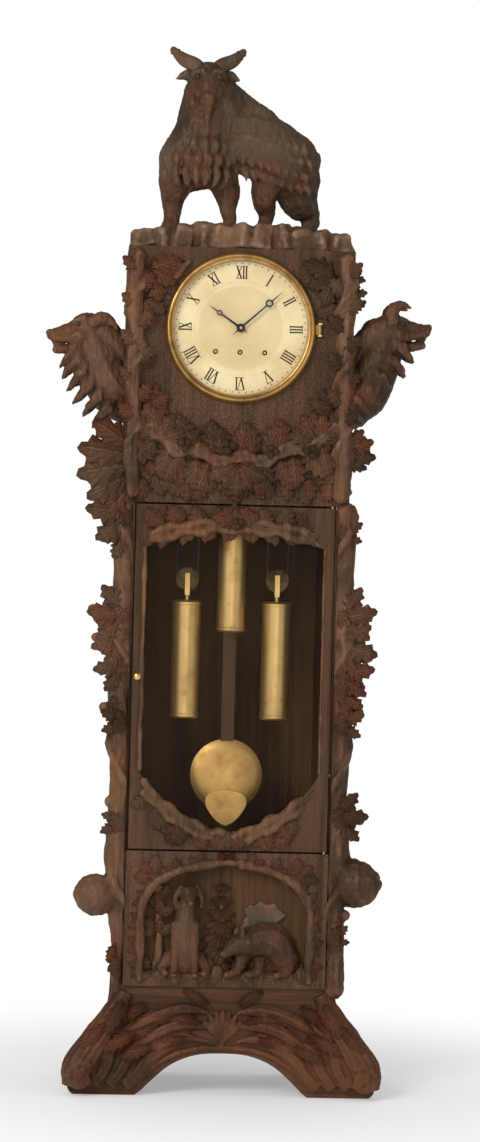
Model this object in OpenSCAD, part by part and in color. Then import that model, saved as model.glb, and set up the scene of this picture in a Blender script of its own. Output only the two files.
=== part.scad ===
// Carved longcase clock with three weights and a seconds pendulum.
// Front faces -Y, the floor is Z = 0, the middle of the clock is X = 0.

/* [Base] */
// Height of the spreading base
base_h = 228; // [215:1:245]
// How far the feet stand out from the case in front
foot_out = 60; // [54:1:66]
// Width over the two front feet
foot_w = 662; // [640:1:690]
// Width of the gap between the feet at the floor
arch_w = 360; // [330:1:380]
// Height of the arch between the feet
arch_h = 90; // [80:1:105]
// Thickness of the skirt boards
skirt_t = 30; // [26:1:34]

/* [Case] */
// Height of the pedestal above the base
pedestal_h = 280; // [270:1:292]
// Height of the trunk, from the pedestal to the hood
trunk_h = 722; // [710:1:740]
// Height of the hood
hood_h = 530; // [520:1:550]
// Width of the trunk and the pedestal
case_w = 420; // [410:1:428]
// Depth of the trunk and the pedestal
case_d = 280; // [272:1:290]
// Thickness of the case boards
board_t = 18; // [16:0.5:21]
// Thickness of the back boards
back_t = 12; // [10:0.5:15]
// How far the hood stands out from the trunk on each side
hood_out = 25; // [21:1:30]
// Thickness of the hood's front board
hood_front_t = 22; // [20:0.5:26]

/* [Pedestal panel] */
// Width of the arched recess
recess_w = 352; // [330:1:364]
// Height of the arched recess
recess_h = 232; // [220:1:240]
// Thickness of the board with the recess
recess_t = 24; // [20:0.5:28]
// Height of the sitting hound
hound_h = 176; // [160:1:182]
// Height of the resting animal
bear_h = 118; // [105:1:128]

/* [Door] */
// Gap round the trunk door
door_gap = 4; // [3:0.25:5]
// Thickness of the door
door_t = 22; // [20:0.5:25]
// Width of the window in the door
window_w = 372; // [364:1:376]
// Height of the door's carved top rail at the sides
top_rail_h = 85; // [75:1:95]
// Rise of the top rail's lower edge in the middle
top_rail_rise = 30; // [20:1:34]
// Height of the door's bottom rail in the middle
bottom_rail_h = 37; // [32:1:44]
// Depth of the U at the window's bottom
window_drop = 124; // [110:1:140]
// Thickness of the door glass
glass_t = 3; // [2:0.5:4]
// Distance of the door's pivots from its face and its edge
pivot_edge = 5; // [4.5:0.25:6]
// Radius of the door's pivot pins
pivot_r = 3; // [2.5:0.25:3.5]
// Length of a pivot pin inside the door
pivot_l = 14; // [12:0.5:18]
// Radial clearance of pins and arbors in their holes
run_gap = 0.05; // [0.03:0.01:0.08]
// Clearance between pieces that move against each other
move_gap = 0.4; // [0.3:0.05:0.5]

/* [Branch columns] */
// Radius of a branch column
column_r = 21; // [19:0.5:23]
// Radius of a burl at the pedestal
burl_r = 36; // [32:1:40]
// Reach of a burl out from the case side
burl_reach = 56; // [50:1:62]
// Length of a carved leaf
leaf_l = 54; // [46:1:60]
// Thickness of a carved leaf at its rib
leaf_t = 10; // [8:0.5:12]

/* [Carved heads and crest] */
// Width over the two hounds' muzzles
heads_w = 806; // [790:1:830]
// Height of a hound's muzzle above the hood floor
muzzle_z = 353; // [340:1:365]
// Height of the rocky ledge over the hood
ledge_h = 58; // [50:1:66]
// Height of the ibex with its horns
ibex_h = 400; // [385:1:410]

/* [Dial] */
// Radius of the dial plate
dial_r = 146; // [143:0.5:148]
// Thickness of the dial plate
dial_t = 3; // [2:0.5:4]
// Height of the dial's centre above the hood floor
dial_z = 365; // [358:1:372]
// Outer radius of the bezel
bezel_r = 158; // [155:0.5:162]
// Width of the bezel ring
bezel_w = 18; // [16:0.5:20]
// Depth of the bezel
bezel_d = 16; // [14:0.5:18]
// Length of the minute hand
minute_l = 118; // [108:1:124]
// Length of the hour hand
hour_l = 82; // [74:1:90]
// Time on the dial, in minutes after twelve
time_min = 608; // [600:1:618]

/* [Movement] */
// Width of the movement plates
plate_w = 186; // [182:1:192]
// Height of the movement plates
plate_h = 176; // [172:1:186]
// Thickness of a movement plate
plate_t = 5; // [4:0.5:6]
// Distance between the plates
plate_gap = 65; // [62:0.5:70]
// Radius of a winding drum
drum_r = 21; // [20:0.25:21.5]
// Spacing of the winding drums
drum_pitch = 51; // [50.5:0.25:52]
// Teeth on the great wheel
great_teeth = 96; // [84:12:96]
// Module of the great wheel
great_module = 0.96; // [0.95:0.005:0.97]
// Module of the centre wheel
centre_module = 0.9; // [0.88:0.01:0.94]
// Module of the third wheel
third_module = 0.8; // [0.78:0.01:0.84]
// Radius of the escape wheel
escape_r = 18; // [17:0.25:19]
// Thickness of the wheels
wheel_t = 3; // [2.5:0.25:3.5]

/* [Pendulum] */
// Length of the pendulum, from its pivot to the middle of the bob
pendulum_l = 993; // [975:1:1000]
// Width of the pendulum rod
rod_w = 27; // [22:0.5:30]
// Thickness of the pendulum rod
rod_t = 8; // [6:0.5:10]
// Radius of the bob
bob_r = 76; // [70:1:82]
// Thickness of the bob
bob_t = 30; // [26:1:34]
// Width of the leaf-shaped drop under the bob
drop_w = 86; // [76:1:92]
// Swing of the pendulum each way, in degrees
swing_deg = 3.5; // [2:0.5:3.5]

/* [Weights] */
// Radius of a weight shell
weight_r = 31; // [28:0.5:33]
// Length of a weight shell
weight_l = 247; // [230:1:255]
// Height of the side weights' lower ends above the trunk floor
side_weight_z = 255; // [240:1:268]
// How much higher the centre weight hangs
centre_rise = 182; // [170:1:190]
// Radius of a cable pulley, to the bottom of its groove
pulley_r = 20; // [18:0.25:22]
// Radius of a weight cable
cable_r = 1; // [0.75:0.05:1.25]

/* [Hidden] */

// Levels
z_pedestal = base_h;
z_trunk = z_pedestal + pedestal_h;
z_hood = z_trunk + trunk_h;
z_top = z_hood + hood_h;
z_floor_top = z_trunk + board_t;
z_dial = z_hood + dial_z;

// Faces across the depth, the back of the clock is flat against the wall
base_d = case_d + foot_out;
y_back = base_d / 2;
y_front = y_back - case_d;
y_face = y_front - door_t;
y_hood = y_front - hood_front_t;
y_inside = y_back - back_t;
case_x = case_w / 2;
hood_w = case_w + 2 * hood_out;
hood_x = hood_w / 2;
foot_x = foot_w / 2;
skirt_x = case_x + column_r;

// Colours
walnut = [0.30, 0.20, 0.15];
dark_walnut = [0.17, 0.11, 0.08];
red_walnut = [0.38, 0.22, 0.15];
brass = [0.72, 0.58, 0.36];
steel = [0.35, 0.36, 0.40];
clear = [0.8, 0.9, 0.9, 0.35];
cream = [0.85, 0.78, 0.60];

$fn = 64;

// One point of a smooth curve that passes through every given point
function curve_point(p0, p1, p2, p3, t) =
    0.5 * (2 * p1 + (p2 - p0) * t + (2 * p0 - 5 * p1 + 4 * p2 - p3) * t * t
           + (3 * p1 - p0 - 3 * p2 + p3) * t * t * t);

// A smooth line through points, with steps pieces between each pair
function smooth(points, steps) =
    let (last = len(points) - 1)
    [for (i = [0 : last - 1], s = [0 : steps - 1])
         curve_point(points[max(i - 1, 0)], points[i], points[i + 1], points[min(i + 2, last)],
                     s / steps),
     points[last]];

function reversed(points) = [for (i = [len(points) - 1 : -1 : 0]) points[i]];
function mirrored(points) = [for (p = points) [-p[0], p[1]]];

// A carved limb, neck or branch: a rounded solid along points with a radius at each. Each piece
// starts a little inside the end of the one before it, so that no two faces lie together.
limb_inset = 0.95;
module limb(points, radii, sides = 8) {
    corner = 1 / cos(180 / sides);
    for (i = [0 : len(points) - 2]) hull() {
        translate(points[i]) sphere(radii[i] * corner * (i == 0 ? 1 : limb_inset), $fn = sides);
        translate(points[i + 1]) sphere(radii[i + 1] * corner, $fn = sides);
    }
}

// A carved leaf lying in the XZ plane, stalk at the origin, tip along +X, rib towards -Y
module leaf(length, thick = leaf_t) {
    rim = thick / 4;
    half = length * 0.3;
    hull() {
        for (p = [[0, 0], [length * 0.4, half], [length * 0.7, half * 0.85], [length, 0],
                  [length * 0.7, -half * 0.85], [length * 0.4, -half]])
            translate([p[0], 0, p[1]]) rotate([90, 0, 0]) cylinder(h = rim, r1 = 1.5, r2 = 1, $fn = 4);
        translate([length * 0.35, 0, 0]) rotate([90, 0, 0]) cylinder(h = thick, r1 = 3, r2 = 1.5, $fn = 4);
    }
}

// A leaf set on a surface at a place, turned in its own plane and tipped away from it
module set_leaf(place, turn, tip = 0, length = leaf_l) {
    translate(place) rotate([0, -turn, 0]) rotate([0, 0, -tip]) leaf(length);
}

// Everything beyond a flat face is cut away, so a carving seats on what carries it
module seated_behind(y) {
    difference() {
        children();
        translate([-foot_w, y, -base_h]) cube([2 * foot_w, base_d, 2 * z_top]);
    }
}
module seated_beside(x) {
    difference() {
        children();
        translate([x - foot_w, -base_d, -base_h]) cube([foot_w, 2 * base_d, 2 * z_top]);
    }
}

// Right half of the skirt's outline, from the middle of the arch round to the top corner
function foot_outer(reach) =
    let (flare = reach - skirt_x)
    [for (p = [[0.86, 0], [0.97, 0.05], [1, 0.18], [0.95, 0.32], [0.74, 0.46], [0.45, 0.59],
               [0.18, 0.73], [0.05, 0.86], [0, 1]])
         [skirt_x + flare * p[0], base_h * p[1]]];
function arch_line() =
    [for (p = [[-0.16, 0.98], [0.16, 0.98], [0.38, 0.9], [0.6, 0.7], [0.8, 0.36], [0.92, 0.12], [1, 0]])
         [arch_w / 2 * p[0], arch_h * p[1]]];
module skirt_board(reach, thick) {
    half = concat([for (p = smooth(arch_line(), 3)) if (p[0] > 0) p], smooth(foot_outer(reach), 4));
    rotate([90, 0, 0]) linear_extrude(thick) polygon(concat(half, reversed(mirrored(half))));
}
// The front skirt's face, which the front feet stand on
y_skirt = y_front - skirt_t / 2;
foot_inset = 10;
module front_skirt() color(red_walnut) translate([0, y_skirt + skirt_t, 0])
    skirt_board(foot_x - foot_inset, skirt_t);

// Rear skirt and the two side boards, which have a low arch of their own
side_reach = 0.8;
module plain_skirts() color(walnut) {
    translate([0, y_back, 0]) skirt_board(skirt_x + (foot_x - skirt_x) * side_reach, board_t);
    side_l = y_back - board_t - (y_skirt + skirt_t);
    for (side = [-1, 1]) translate([side * (case_x - board_t / 2), y_skirt + skirt_t, 0])
        rotate([90, 0, 90]) linear_extrude(board_t, center = true) difference() {
            square([side_l, base_h]);
            translate([side_l / 2, 0]) polygon(concat(
                smooth([[-side_l * 0.34, -1], [-side_l * 0.3, arch_h * 0.2],
                        [-side_l * 0.15, arch_h * 0.55], [0, arch_h * 0.7],
                        [side_l * 0.15, arch_h * 0.55], [side_l * 0.3, arch_h * 0.2],
                        [side_l * 0.34, -1]], 3)));
        }
}

// Carved front foot: a scroll that swells down to the floor, with three acanthus ribs. It is set out
// in toe radii, and its back is cut flat where it meets the skirt.
toe_r = (foot_out + skirt_t / 2 + 1) / 2;
module foot_form() {
    y_mid = -y_back + toe_r;
    x_toe = foot_x - toe_r;
    main = [[skirt_x - 0.63 * toe_r, y_mid + 0.21 * toe_r, base_h * 0.93],
            [skirt_x + 0.05 * toe_r, y_mid + 0.16 * toe_r, base_h * 0.72],
            [x_toe - 0.68 * toe_r, y_mid + 0.05 * toe_r, base_h * 0.5],
            [x_toe, y_mid, base_h * 0.2], [x_toe - 0.16 * toe_r, y_mid, toe_r * 0.6]];
    intersection() {
        union() {
            limb(main, [toe_r * 0.5, toe_r * 0.66, toe_r * 0.84, toe_r, toe_r], 10);
            for (k = [0 : 2]) limb(
                [[skirt_x - (1.21 + 1.05 * k) * toe_r, y_mid + 0.32 * toe_r, base_h * (0.62 - 0.08 * k)],
                 [skirt_x - (0.16 + 0.9 * k) * toe_r, y_mid + 0.1 * toe_r, base_h * (0.44 - 0.04 * k)],
                 [x_toe - (1.37 + 0.9 * k) * toe_r, y_mid + 0.1 * toe_r, base_h * (0.2 + 0.026 * k)]],
                [toe_r * 0.3, toe_r * 0.45, toe_r * 0.4], 6);
        }
        translate([0, -base_d, 0]) cube([foot_w, y_skirt + base_d, base_h]);
    }
}
module front_foot_right() color(red_walnut) foot_form();
module front_foot_left() color(red_walnut) mirror([1, 0, 0]) foot_form();

// Side boards of the trunk and the pedestal in one length, and the back boards
panel_rim = 46;
panel_deep = 5;
module sunk_panel(side, x, z0, z1) {
    hull() for (d = [0, panel_deep])
        translate([side * (x + 1 - d) - 0.5, y_front + panel_rim + d, z0 + panel_rim + d])
            cube([1, y_inside - y_front - 2 * panel_rim - 2 * d, z1 - z0 - 2 * panel_rim - 2 * d]);
}
module case_sides() color(walnut) for (side = [-1, 1]) difference() {
    translate([side * (case_x - board_t / 2), (y_front + y_inside) / 2, (z_pedestal + z_hood) / 2])
        cube([board_t, y_inside - y_front, z_hood - z_pedestal], center = true);
    sunk_panel(side, case_x, z_trunk, z_hood);
    sunk_panel(side, case_x, z_pedestal, z_trunk);
}
module back_boards() color(dark_walnut) {
    translate([-case_x, y_inside, z_pedestal]) cube([case_w, back_t, z_hood - z_pedestal]);
    translate([-hood_x, y_inside, z_hood]) cube([hood_w, back_t, hood_h]);
}
module trunk_floor() color(walnut)
    translate([-case_x + board_t, y_front, z_trunk])
        cube([case_w - 2 * board_t, y_inside - y_front, board_t]);

// Pedestal front with its round-headed recess, and the panel behind it
recess_foot = (pedestal_h - recess_h) * 0.4;
function recess_head(w, h) =
    smooth([[w / 2, 0], [w / 2, h * 0.62], [w * 0.44, h * 0.8], [w * 0.28, h * 0.95], [0, h],
            [-w * 0.28, h * 0.95], [-w * 0.44, h * 0.8], [-w / 2, h * 0.62], [-w / 2, 0]], 3);
module pedestal_front() color(walnut) difference() {
    translate([0, y_front, z_pedestal]) rotate([90, 0, 0]) linear_extrude(recess_t) difference() {
        translate([-case_x, 0]) square([case_w, pedestal_h]);
        translate([0, recess_foot]) polygon(recess_head(recess_w, recess_h));
    }
    translate([pivot_x, pivot_y, z_trunk - pivot_l]) cylinder(h = pivot_l + 1, r = pivot_r);
}
module recess_panel() color(dark_walnut)
    translate([-case_x + board_t, y_front, z_pedestal])
        cube([case_w - 2 * board_t, back_t, pedestal_h]);

// Relief animals in the recess, seated on the recess panel
recess_z = z_pedestal + recess_foot;
module sitting_hound() color(red_walnut) {
    k = hound_h / 176;
    translate([-recess_w * 0.24, y_front, recess_z]) intersection() {
        translate([-recess_w, -2 * recess_t, 0.1]) cube([2 * recess_w, 2 * recess_t, recess_h]);
        scale(k) union() {
            limb([[2, -8, 26], [0, -14, 66], [2, -18, 104], [6, -20, 138]], [30, 28, 22, 15]);
            limb([[6.6, -21.3, 142.7], [8, -38, 136], [9, -48, 132]], [17, 11, 8]);
            limb([[-6, -14, 152], [-16, -14, 126]], [6, 5], 6);
            limb([[18, -14, 152], [28, -14, 126]], [6, 5], 6);
            limb([[-14, -24, 84], [-16, -32, 40], [-16, -36, 8]], [12, 9, 8], 6);
            limb([[16, -24, 84], [18, -32, 40], [18, -36, 8]], [12, 9, 8], 6);
            limb([[-26, -10, 22], [-44, -12, 10]], [16, 9], 6);
            limb([[28, -10, 22], [40, -14, 10]], [14, 8], 6);
        }
    }
}
module resting_bear() color(walnut) {
    k = bear_h / 118;
    translate([recess_w * 0.2, y_front, recess_z]) intersection() {
        translate([-recess_w, -2 * recess_t, 0.1]) cube([2 * recess_w, 2 * recess_t, recess_h]);
        scale(k) union() {
            limb([[44, -4, 40], [16, -8, 66], [-20, -10, 58]], [38, 42, 34]);
            limb([[-21, -15, 63], [-44, -22, 57], [-60, -32, 46]], [28.6, 21, 10]);
            limb([[-42, -14, 80], [-40, -10, 88]], [7, 5], 6);
            limb([[-28, -18, 36], [-40, -30, 12], [-54, -34, 8]], [16, 11, 8], 6);
            limb([[4, -16, 34], [-4, -30, 12], [-16, -34, 8]], [15, 11, 8], 6);
            limb([[54, -10, 30], [50, -26, 12], [34, -30, 8]], [22, 13, 9], 6);
        }
    }
}

// Trunk door
door_x = case_x - door_gap;
z_door = z_trunk + door_gap;
z_door_top = z_hood - door_gap;
z_window_top = z_door_top - top_rail_h;
z_window_low = z_door + bottom_rail_h;
z_window_side = z_window_low + window_drop;
pivot_x = door_x - pivot_edge;
pivot_y = y_face + pivot_edge;
y_glass = (y_front + y_face + glass_t) / 2;

bevel = pivot_edge - 1;

// Lower edge of the window and its upper edge, each from right to left
function window_u(w, drop, z) =
    smooth([for (p = [[1, 0], [0.94, 0.17], [0.78, 0.44], [0.5, 0.76], [0.25, 0.94], [0, 1],
                      [-0.25, 0.94], [-0.5, 0.76], [-0.78, 0.44], [-0.94, 0.17], [-1, 0]])
                [w / 2 * p[0], z - drop * p[1]]], 3);
function window_head(w, rise, z) =
    smooth([for (p = [[1, 0], [0.6, 0.62], [0, 1], [-0.6, 0.62], [-1, 0]])
                [w / 2 * p[0], z + rise * p[1]]], 3);
module window() {
    polygon(concat(window_u(window_w, window_drop, z_window_side),
                   reversed(window_head(window_w, top_rail_rise, z_window_top))));
}
module trunk_door() color(walnut) difference() {
    translate([0, y_front - move_gap, 0]) rotate([90, 0, 0]) linear_extrude(door_t - move_gap)
        difference() {
            translate([-door_x, z_door]) square([2 * door_x, z_door_top - z_door]);
            window();
        }
    for (z = [z_door - 1, z_door_top - pivot_l - 1]) translate([pivot_x, pivot_y, z])
        cylinder(h = pivot_l + 2, r = pivot_r + run_gap);
    // The rear edge beside the hinges is bevelled, so that it turns clear of the case
    translate([door_x, y_front - move_gap, z_hood]) rotate(45)
        cube([bevel * sqrt(2), door_t, 3 * z_hood], center = true);
}
module door_glass() color(clear)
    translate([0, y_glass, 0]) rotate([90, 0, 0]) linear_extrude(glass_t) window();
// The door's two pivot pins, and the pin and ears of the bezel's hinge
module hinge_pins() color(brass) {
    for (z = [z_trunk, z_hood]) translate([pivot_x, pivot_y, z - pivot_l])
        cylinder(h = 2 * pivot_l, r = pivot_r);
    translate([hinge_x, hinge_y, z_dial - 14]) cylinder(h = 28, r = 2);
    for (z = [-14, 10 + move_gap]) translate([hinge_x - knuckle_r, hinge_y - knuckle_r, z_dial + z])
        cube([2 * knuckle_r, y_hood - hinge_y + knuckle_r, 4 - move_gap]);
}
module door_knob() color(brass) translate([-(door_x + window_w / 2) / 2, y_face, (z_trunk + z_hood) / 2])
    rotate([90, 0, 0]) rotate_extrude()
        polygon(concat([[0, 0]], smooth([[6, 0], [5, 3], [3, 8], [4, 12], [8, 17], [6, 22], [0, 24]], 4)));

// Garlands carved on the door: one along the window's head, one along the U below it. Beside the
// hinges they are shallower than the gap round the door, so that it opens clear of the column.
carve_x = door_x - 20;
function head_z(x) = z_window_top + top_rail_rise * (1 - pow(x / (window_w / 2), 2));
function u_z(x) = z_window_side - window_drop * pow(1 - pow(abs(x) / (window_w / 2), 1.5), 0.75);
module door_carving() color(walnut) seated_behind(y_face) intersection() {
    union() {
        limb([for (k = [-4 : 4]) [k * carve_x / 4.4, y_face - 3, head_z(k * carve_x / 4.4) + 14]],
             [for (k = [-4 : 4]) 13 + 3 * (abs(k) % 2)], 6);
        limb([for (k = [-5 : 5]) [k * carve_x / 5.4, y_face - 2, u_z(k * carve_x / 5.4) - 12]],
             [for (k = [-5 : 5]) 11 + 3 * (abs(k) % 2)], 6);
        for (k = [-4 : 4]) set_leaf([k * carve_x / 5, y_face - 4, z_door_top - 34 - 4 * abs(k)],
                                    k < 0 ? 205 - 12 * k : -25 - 12 * k, 12);
        for (k = [-3, -2, 2, 3]) set_leaf([k * carve_x / 4.6, y_face - 3, u_z(k * carve_x / 4.6) - 22],
                                          k < 0 ? 215 : -35, 10, leaf_l * 0.8);
    }
    difference() {
        translate([-carve_x, y_face - 3 * door_t, z_door])
            cube([2 * carve_x, 4 * door_t, z_door_top - z_door]);
        translate([pivot_x - 2 * column_r, y_face - 4 * door_t - door_gap + move_gap, z_door - 1])
            cube([3 * column_r, 4 * door_t, z_door_top - z_door + 2]);
    }
}

// Branch columns at the front corners, with cut twigs, leaf sprays and a burl. Heights are shares of
// the column's height, reaches and radii are shares of its radius.
column_x = case_x + column_r - 3;
column_y = y_front - 8;
column_rows = [[0, 0.1, 0, 1.15], [0.07, 0.29, -0.14, 0.95], [0.17, -0.1, 0.1, 1],
               [0.29, 0.19, -0.19, 1.12], [0.38, 0, 0, 0.86], [0.5, 0.14, -0.14, 0.92],
               [0.62, 0.29, 0.1, 1.1], [0.73, 0.1, -0.19, 1.12], [0.85, 0.19, 0, 0.9],
               [1, 0.1, -0.1, 1.15]];
module column_form(twigs, sprays, burl) {
    low = z_pedestal - column_r * 0.6;
    tall = z_hood - low;
    intersection() {
        union() {
            limb([for (r = column_rows) [column_x + column_r * r[1], column_y + column_r * r[2],
                                         low + tall * r[0]]],
                 [for (r = column_rows) column_r * r[3]], 8);
            for (t = twigs) limb([[column_x, column_y, low + tall * t[0] - column_r * 0.57],
                                  [column_x + column_r * t[1], column_y - column_r * 0.29,
                                   low + tall * t[0]]], [column_r * 0.7, column_r * 0.43], 6);
            for (s = sprays) for (k = [-1 : 1])
                set_leaf([column_x + column_r * 0.19, column_y - column_r * 0.8,
                          low + tall * s[0] + leaf_l * 0.26 * k], s[1] + 42 * k, 20,
                         leaf_l * (1 - 0.12 * abs(k)));
            limb([[column_x, column_y, low + tall * burl - burl_r * 0.39],
                  [case_x + burl_reach, column_y - burl_r * 0.11, low + tall * burl]],
                 [column_r * 0.9, burl_r], 10);
        }
        translate([case_x, -y_back, z_pedestal]) cube([foot_x, base_d, trunk_h + pedestal_h]);
    }
}
module branch_column_left() color(walnut) mirror([1, 0, 0])
    column_form([[0.777, 2.48], [0.719, 2.1], [0.579, 1.14], [0.385, 0.67]],
                [[0.951, 10], [0.783, 30], [0.679, -20], [0.476, 35], [0.338, -25], [0.111, 40]], 0.2045);
module branch_column_right() color(walnut)
    column_form([[0.763, 1.24], [0.692, 2.1], [0.579, 1.14], [0.359, 1.62]],
                [[0.931, 40], [0.733, 10], [0.644, -30], [0.466, 25], [0.363, 5], [0.121, 45]], 0.219);

// Hood: floor with its well, sides, top and front board
module hood_boards() color(walnut) {
    well_x = case_x - board_t;
    difference() {
        translate([-hood_x + board_t, y_front, z_hood])
            cube([hood_w - 2 * board_t, y_inside - y_front, board_t]);
        translate([-well_x, y_front + board_t, z_hood - 1])
            cube([2 * well_x, y_inside - y_front - 2 * board_t, board_t + 2]);
    }
    for (side = [-1, 1])
        difference() {
            translate([side * (hood_x - board_t / 2), (y_front + y_inside) / 2,
                       z_hood + (hood_h - board_t) / 2])
                cube([board_t, y_inside - y_front, hood_h - board_t], center = true);
            sunk_panel(side, hood_x, z_hood, z_top);
        }
    translate([-hood_x, y_hood, z_top - board_t]) cube([hood_w, y_inside - y_hood, board_t]);
}
dial_gap = 3;
module hood_front() color(walnut) difference() {
    translate([-hood_x, y_hood, z_hood]) cube([hood_w, hood_front_t, hood_h - board_t]);
    translate([0, y_front + 1, z_dial]) rotate([90, 0, 0])
        cylinder(h = hood_front_t + 2, r = dial_r + dial_gap, $fn = 96);
    translate([pivot_x, pivot_y, z_hood - 1]) cylinder(h = pivot_l + 1, r = pivot_r);
}

// The hounds' heads: how far one reaches at full scale, its neck, and how deep it sits on the side
head_reach = 168;
head_scale = (heads_w / 2 - hood_x) / head_reach;
z_muzzle = z_hood + muzzle_z;
neck_r = 60;
neck_down = 113;
head_in = 26;

// Leaves and branches carved on the hood's front, clear of the bezel, its swing and the heads
ground_t = 4.3;
function ground_line() = smooth(
    [for (p = [[-0.98, 0.01], [-0.98, 0.66], [-0.72, 0.5], [-0.5, 0.41], [0, 0.345], [0.5, 0.41],
               [0.72, 0.5], [0.98, 0.66], [0.98, 0.01]])
         [hood_x * p[0], z_hood + hood_h * p[1]]], 2);
module hood_carving() color(walnut) seated_behind(y_hood) difference() {
    union() {
        translate([0, y_hood + 1, 0]) rotate([90, 0, 0]) linear_extrude(ground_t + 1) polygon(ground_line());
        for (side = [-1, 1]) {
            limb([for (k = [0 : 6]) [side * (hood_x - 19 + 6 * (k % 2)), y_hood - 6,
                                     z_hood + 24 + (hood_h - 46) * k / 6]],
                 [for (k = [0 : 6]) 17 + 3 * (k % 2)], 6);
            for (k = [0 : 2]) set_leaf([side * (hood_x - 24), y_hood - 14, z_hood + 330 + 66 * k],
                                       side > 0 ? 130 + 14 * k : 50 - 14 * k, 12);
        }
        for (k = [-2 : 2]) set_leaf([k * hood_x * 0.31, y_hood - ground_t, z_hood + 112 + 9 * k * k],
                                    90 - 21 * k, 17, leaf_l * 1.3);
        for (k = [-2 : 2]) set_leaf([k * hood_x * 0.33 + 9, y_hood - ground_t, z_hood + 74 + 5 * k * k],
                                    268 + 17 * k, 16, leaf_l * 1.2);
        limb([for (k = [-3 : 3]) [k * hood_x / 3.8, y_hood - 12, z_hood + 92 + 6 * k * k]],
             [for (k = [-3 : 3]) 12 + 3 * (abs(k) % 2)], 6);
        for (k = [0 : 3]) set_leaf([-hood_x + 8, y_hood - 8, z_hood + 62 + 16 * k], 218 - 26 * k, 12,
                                   leaf_l * (1.75 - 0.15 * abs(k - 1)));
        for (k = [0 : 2]) set_leaf([hood_x - 8, y_hood - 8, z_hood + 66 + 16 * k], -30 + 28 * k, 12,
                                   leaf_l * (0.98 - 0.1 * k));
    }
    translate([0, y_hood + 1, z_dial]) rotate([90, 0, 0])
        cylinder(h = 4 * bezel_d, r = bezel_r + dial_gap + 1, $fn = 48);
    translate([-foot_x, -y_back - 1, z_hood - base_h]) cube([foot_w, base_d, base_h + 2]);
    for (side = [-1, 1]) {
        translate([side * (bezel_r + 8) - 12, y_hood - 4 * bezel_d, z_dial - bezel_r / 2])
            cube([24, 4 * bezel_d, bezel_r]);
        translate([side * hood_w, 0, z_muzzle - neck_down * head_scale])
            cube([hood_w, base_d + 2, 3.3 * neck_r * head_scale], center = true);
    }
}

// Hound's head with its neck, rising from the hood's side. It is set out for a reach of head_reach
// from the hood and scaled to the width over the muzzles.
module hound_head() {
    seated_beside(hood_x) translate([hood_x, y_front + head_in, z_muzzle]) scale(head_scale) union() {
        limb([[0, 0, -neck_down], [15, 0, -neck_down], [57, -4, -53], [84, -8, 12]],
             [neck_r, neck_r, 50, 38], 10);
        limb([[84, -10, 12], [126, -14, 2], [155, -16, 0]], [34, 21, 13], 8);
        limb([[88, -10, -14], [134, -14, -18]], [22, 11], 8);
        for (ear = [-1, 1]) limb([[72, -6 + 22 * ear, 30], [96, -6 + 28 * ear, 68]], [15, 4], 6);
        for (k = [0 : 3]) limb([[40 + 10 * k, -34 - 1.7 * k, -66 + 14 * k],
                                [50 + 20 * k, -46 + 6 * k, -128 + 34 * k]], [20, 7], 6);
    }
}
module hound_head_right() color(walnut) hound_head();
module hound_head_left() color(walnut) mirror([1, 0, 0]) hound_head();

// Rocky ledge over the hood, highest in the middle: three rows of stones, and a stump at each corner
stone_r = ledge_h * 0.55;
stump_r = ledge_h * 0.33;
function ledge_rise(u) = ledge_h * (1 - 0.62 * pow(abs(u + 0.06), 1.3));
module ledge_form() {
    intersection() {
        union() {
            for (row = [0 : 2]) limb(
                [for (k = [-4 : 4]) [k * (hood_x - stone_r * 0.88) / 4,
                                     y_hood + stone_r * (1.19 + 1.38 * row),
                                     z_top + ledge_rise(k / 4)
                                     - stone_r * (1.07 + 0.22 * ((k + row + 8) % 2))]],
                [for (k = [-4 : 4]) stone_r * (1 + 0.13 * ((k + row + 8) % 2))], 8);
            for (side = [-1, 1]) limb([[side * (hood_x - stump_r * 0.94), y_hood + stump_r * 1.05, z_top],
                                       [side * (hood_x - stump_r * 1.04), y_hood + stump_r * 1.05,
                                        z_top + stump_r * 1.36]], [stump_r, stump_r * 0.68], 8);
        }
        translate([-hood_x, y_hood, z_top]) cube([hood_w, case_d, 2 * ledge_h]);
    }
}
module rocky_ledge() color(walnut) ledge_form();

// Ibex on the ledge: chest and head to the left, rump to the right, face to the front
module ibex() color(walnut) {
    k = ibex_h / 400;
    z0 = z_top + ledge_h - stone_r;
    y0 = y_hood + stone_r * 2.2;
    difference() {
        translate([0, y0, z0]) scale(k) union() {
            limb([[-84, -8, 196], [-30, 2, 206], [28, 12, 190], [92, 26, 158]], [64, 66, 66, 62], 10);
            limb([[-107, -10, 168], [-70, -9, 237], [-56, -15, 283], [-75, -20, 319]], [60, 62, 56, 35], 10);
            limb([[-79, -22, 324], [-79, -52, 304], [-79, -68, 288]], [31, 22, 14], 8);
            limb([[-78, -60, 271.4], [-80, -55, 246]], [9, 4], 6);
            for (side = [-1, 1]) {
                limb([[-79 + 28 * side, -18, 334], [-79 + 52 * side, -20, 324]], [9, 4], 6);
                limb([[-79 + 14 * side, -22, 346], [-79 + 34 * side, -12, 374],
                      [-86 + 66 * side, 0, 392]], [11, 9, 6], 8);
            }
            limb([[-126, -10, 150], [-140, -16, 100], [-141, -14, 52], [-142, -16, 8]],
                 [44, 32, 19, 15], 8);
            limb([[-58, 4, 150], [-34, 0, 92], [-26, -4, 50], [-24, -6, 12]], [36, 21, 14, 14], 8);
            limb([[-124, 6, 104], [-70, 14, 110], [-26, 4, 98]], [14, 9, 11], 6);
            limb([[62, 20, 130], [47, 22, 78], [46, 18, 12]], [42, 18, 14], 8);
            limb([[105, 38, 126], [117, 46, 88], [130, 48, 47], [134, 40, -4]], [50, 39, 20, 15], 8);
            limb([[149, 34, 181], [156, 36, 163]], [10, 6], 6);
        }
        ledge_form();
    }
}

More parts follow.
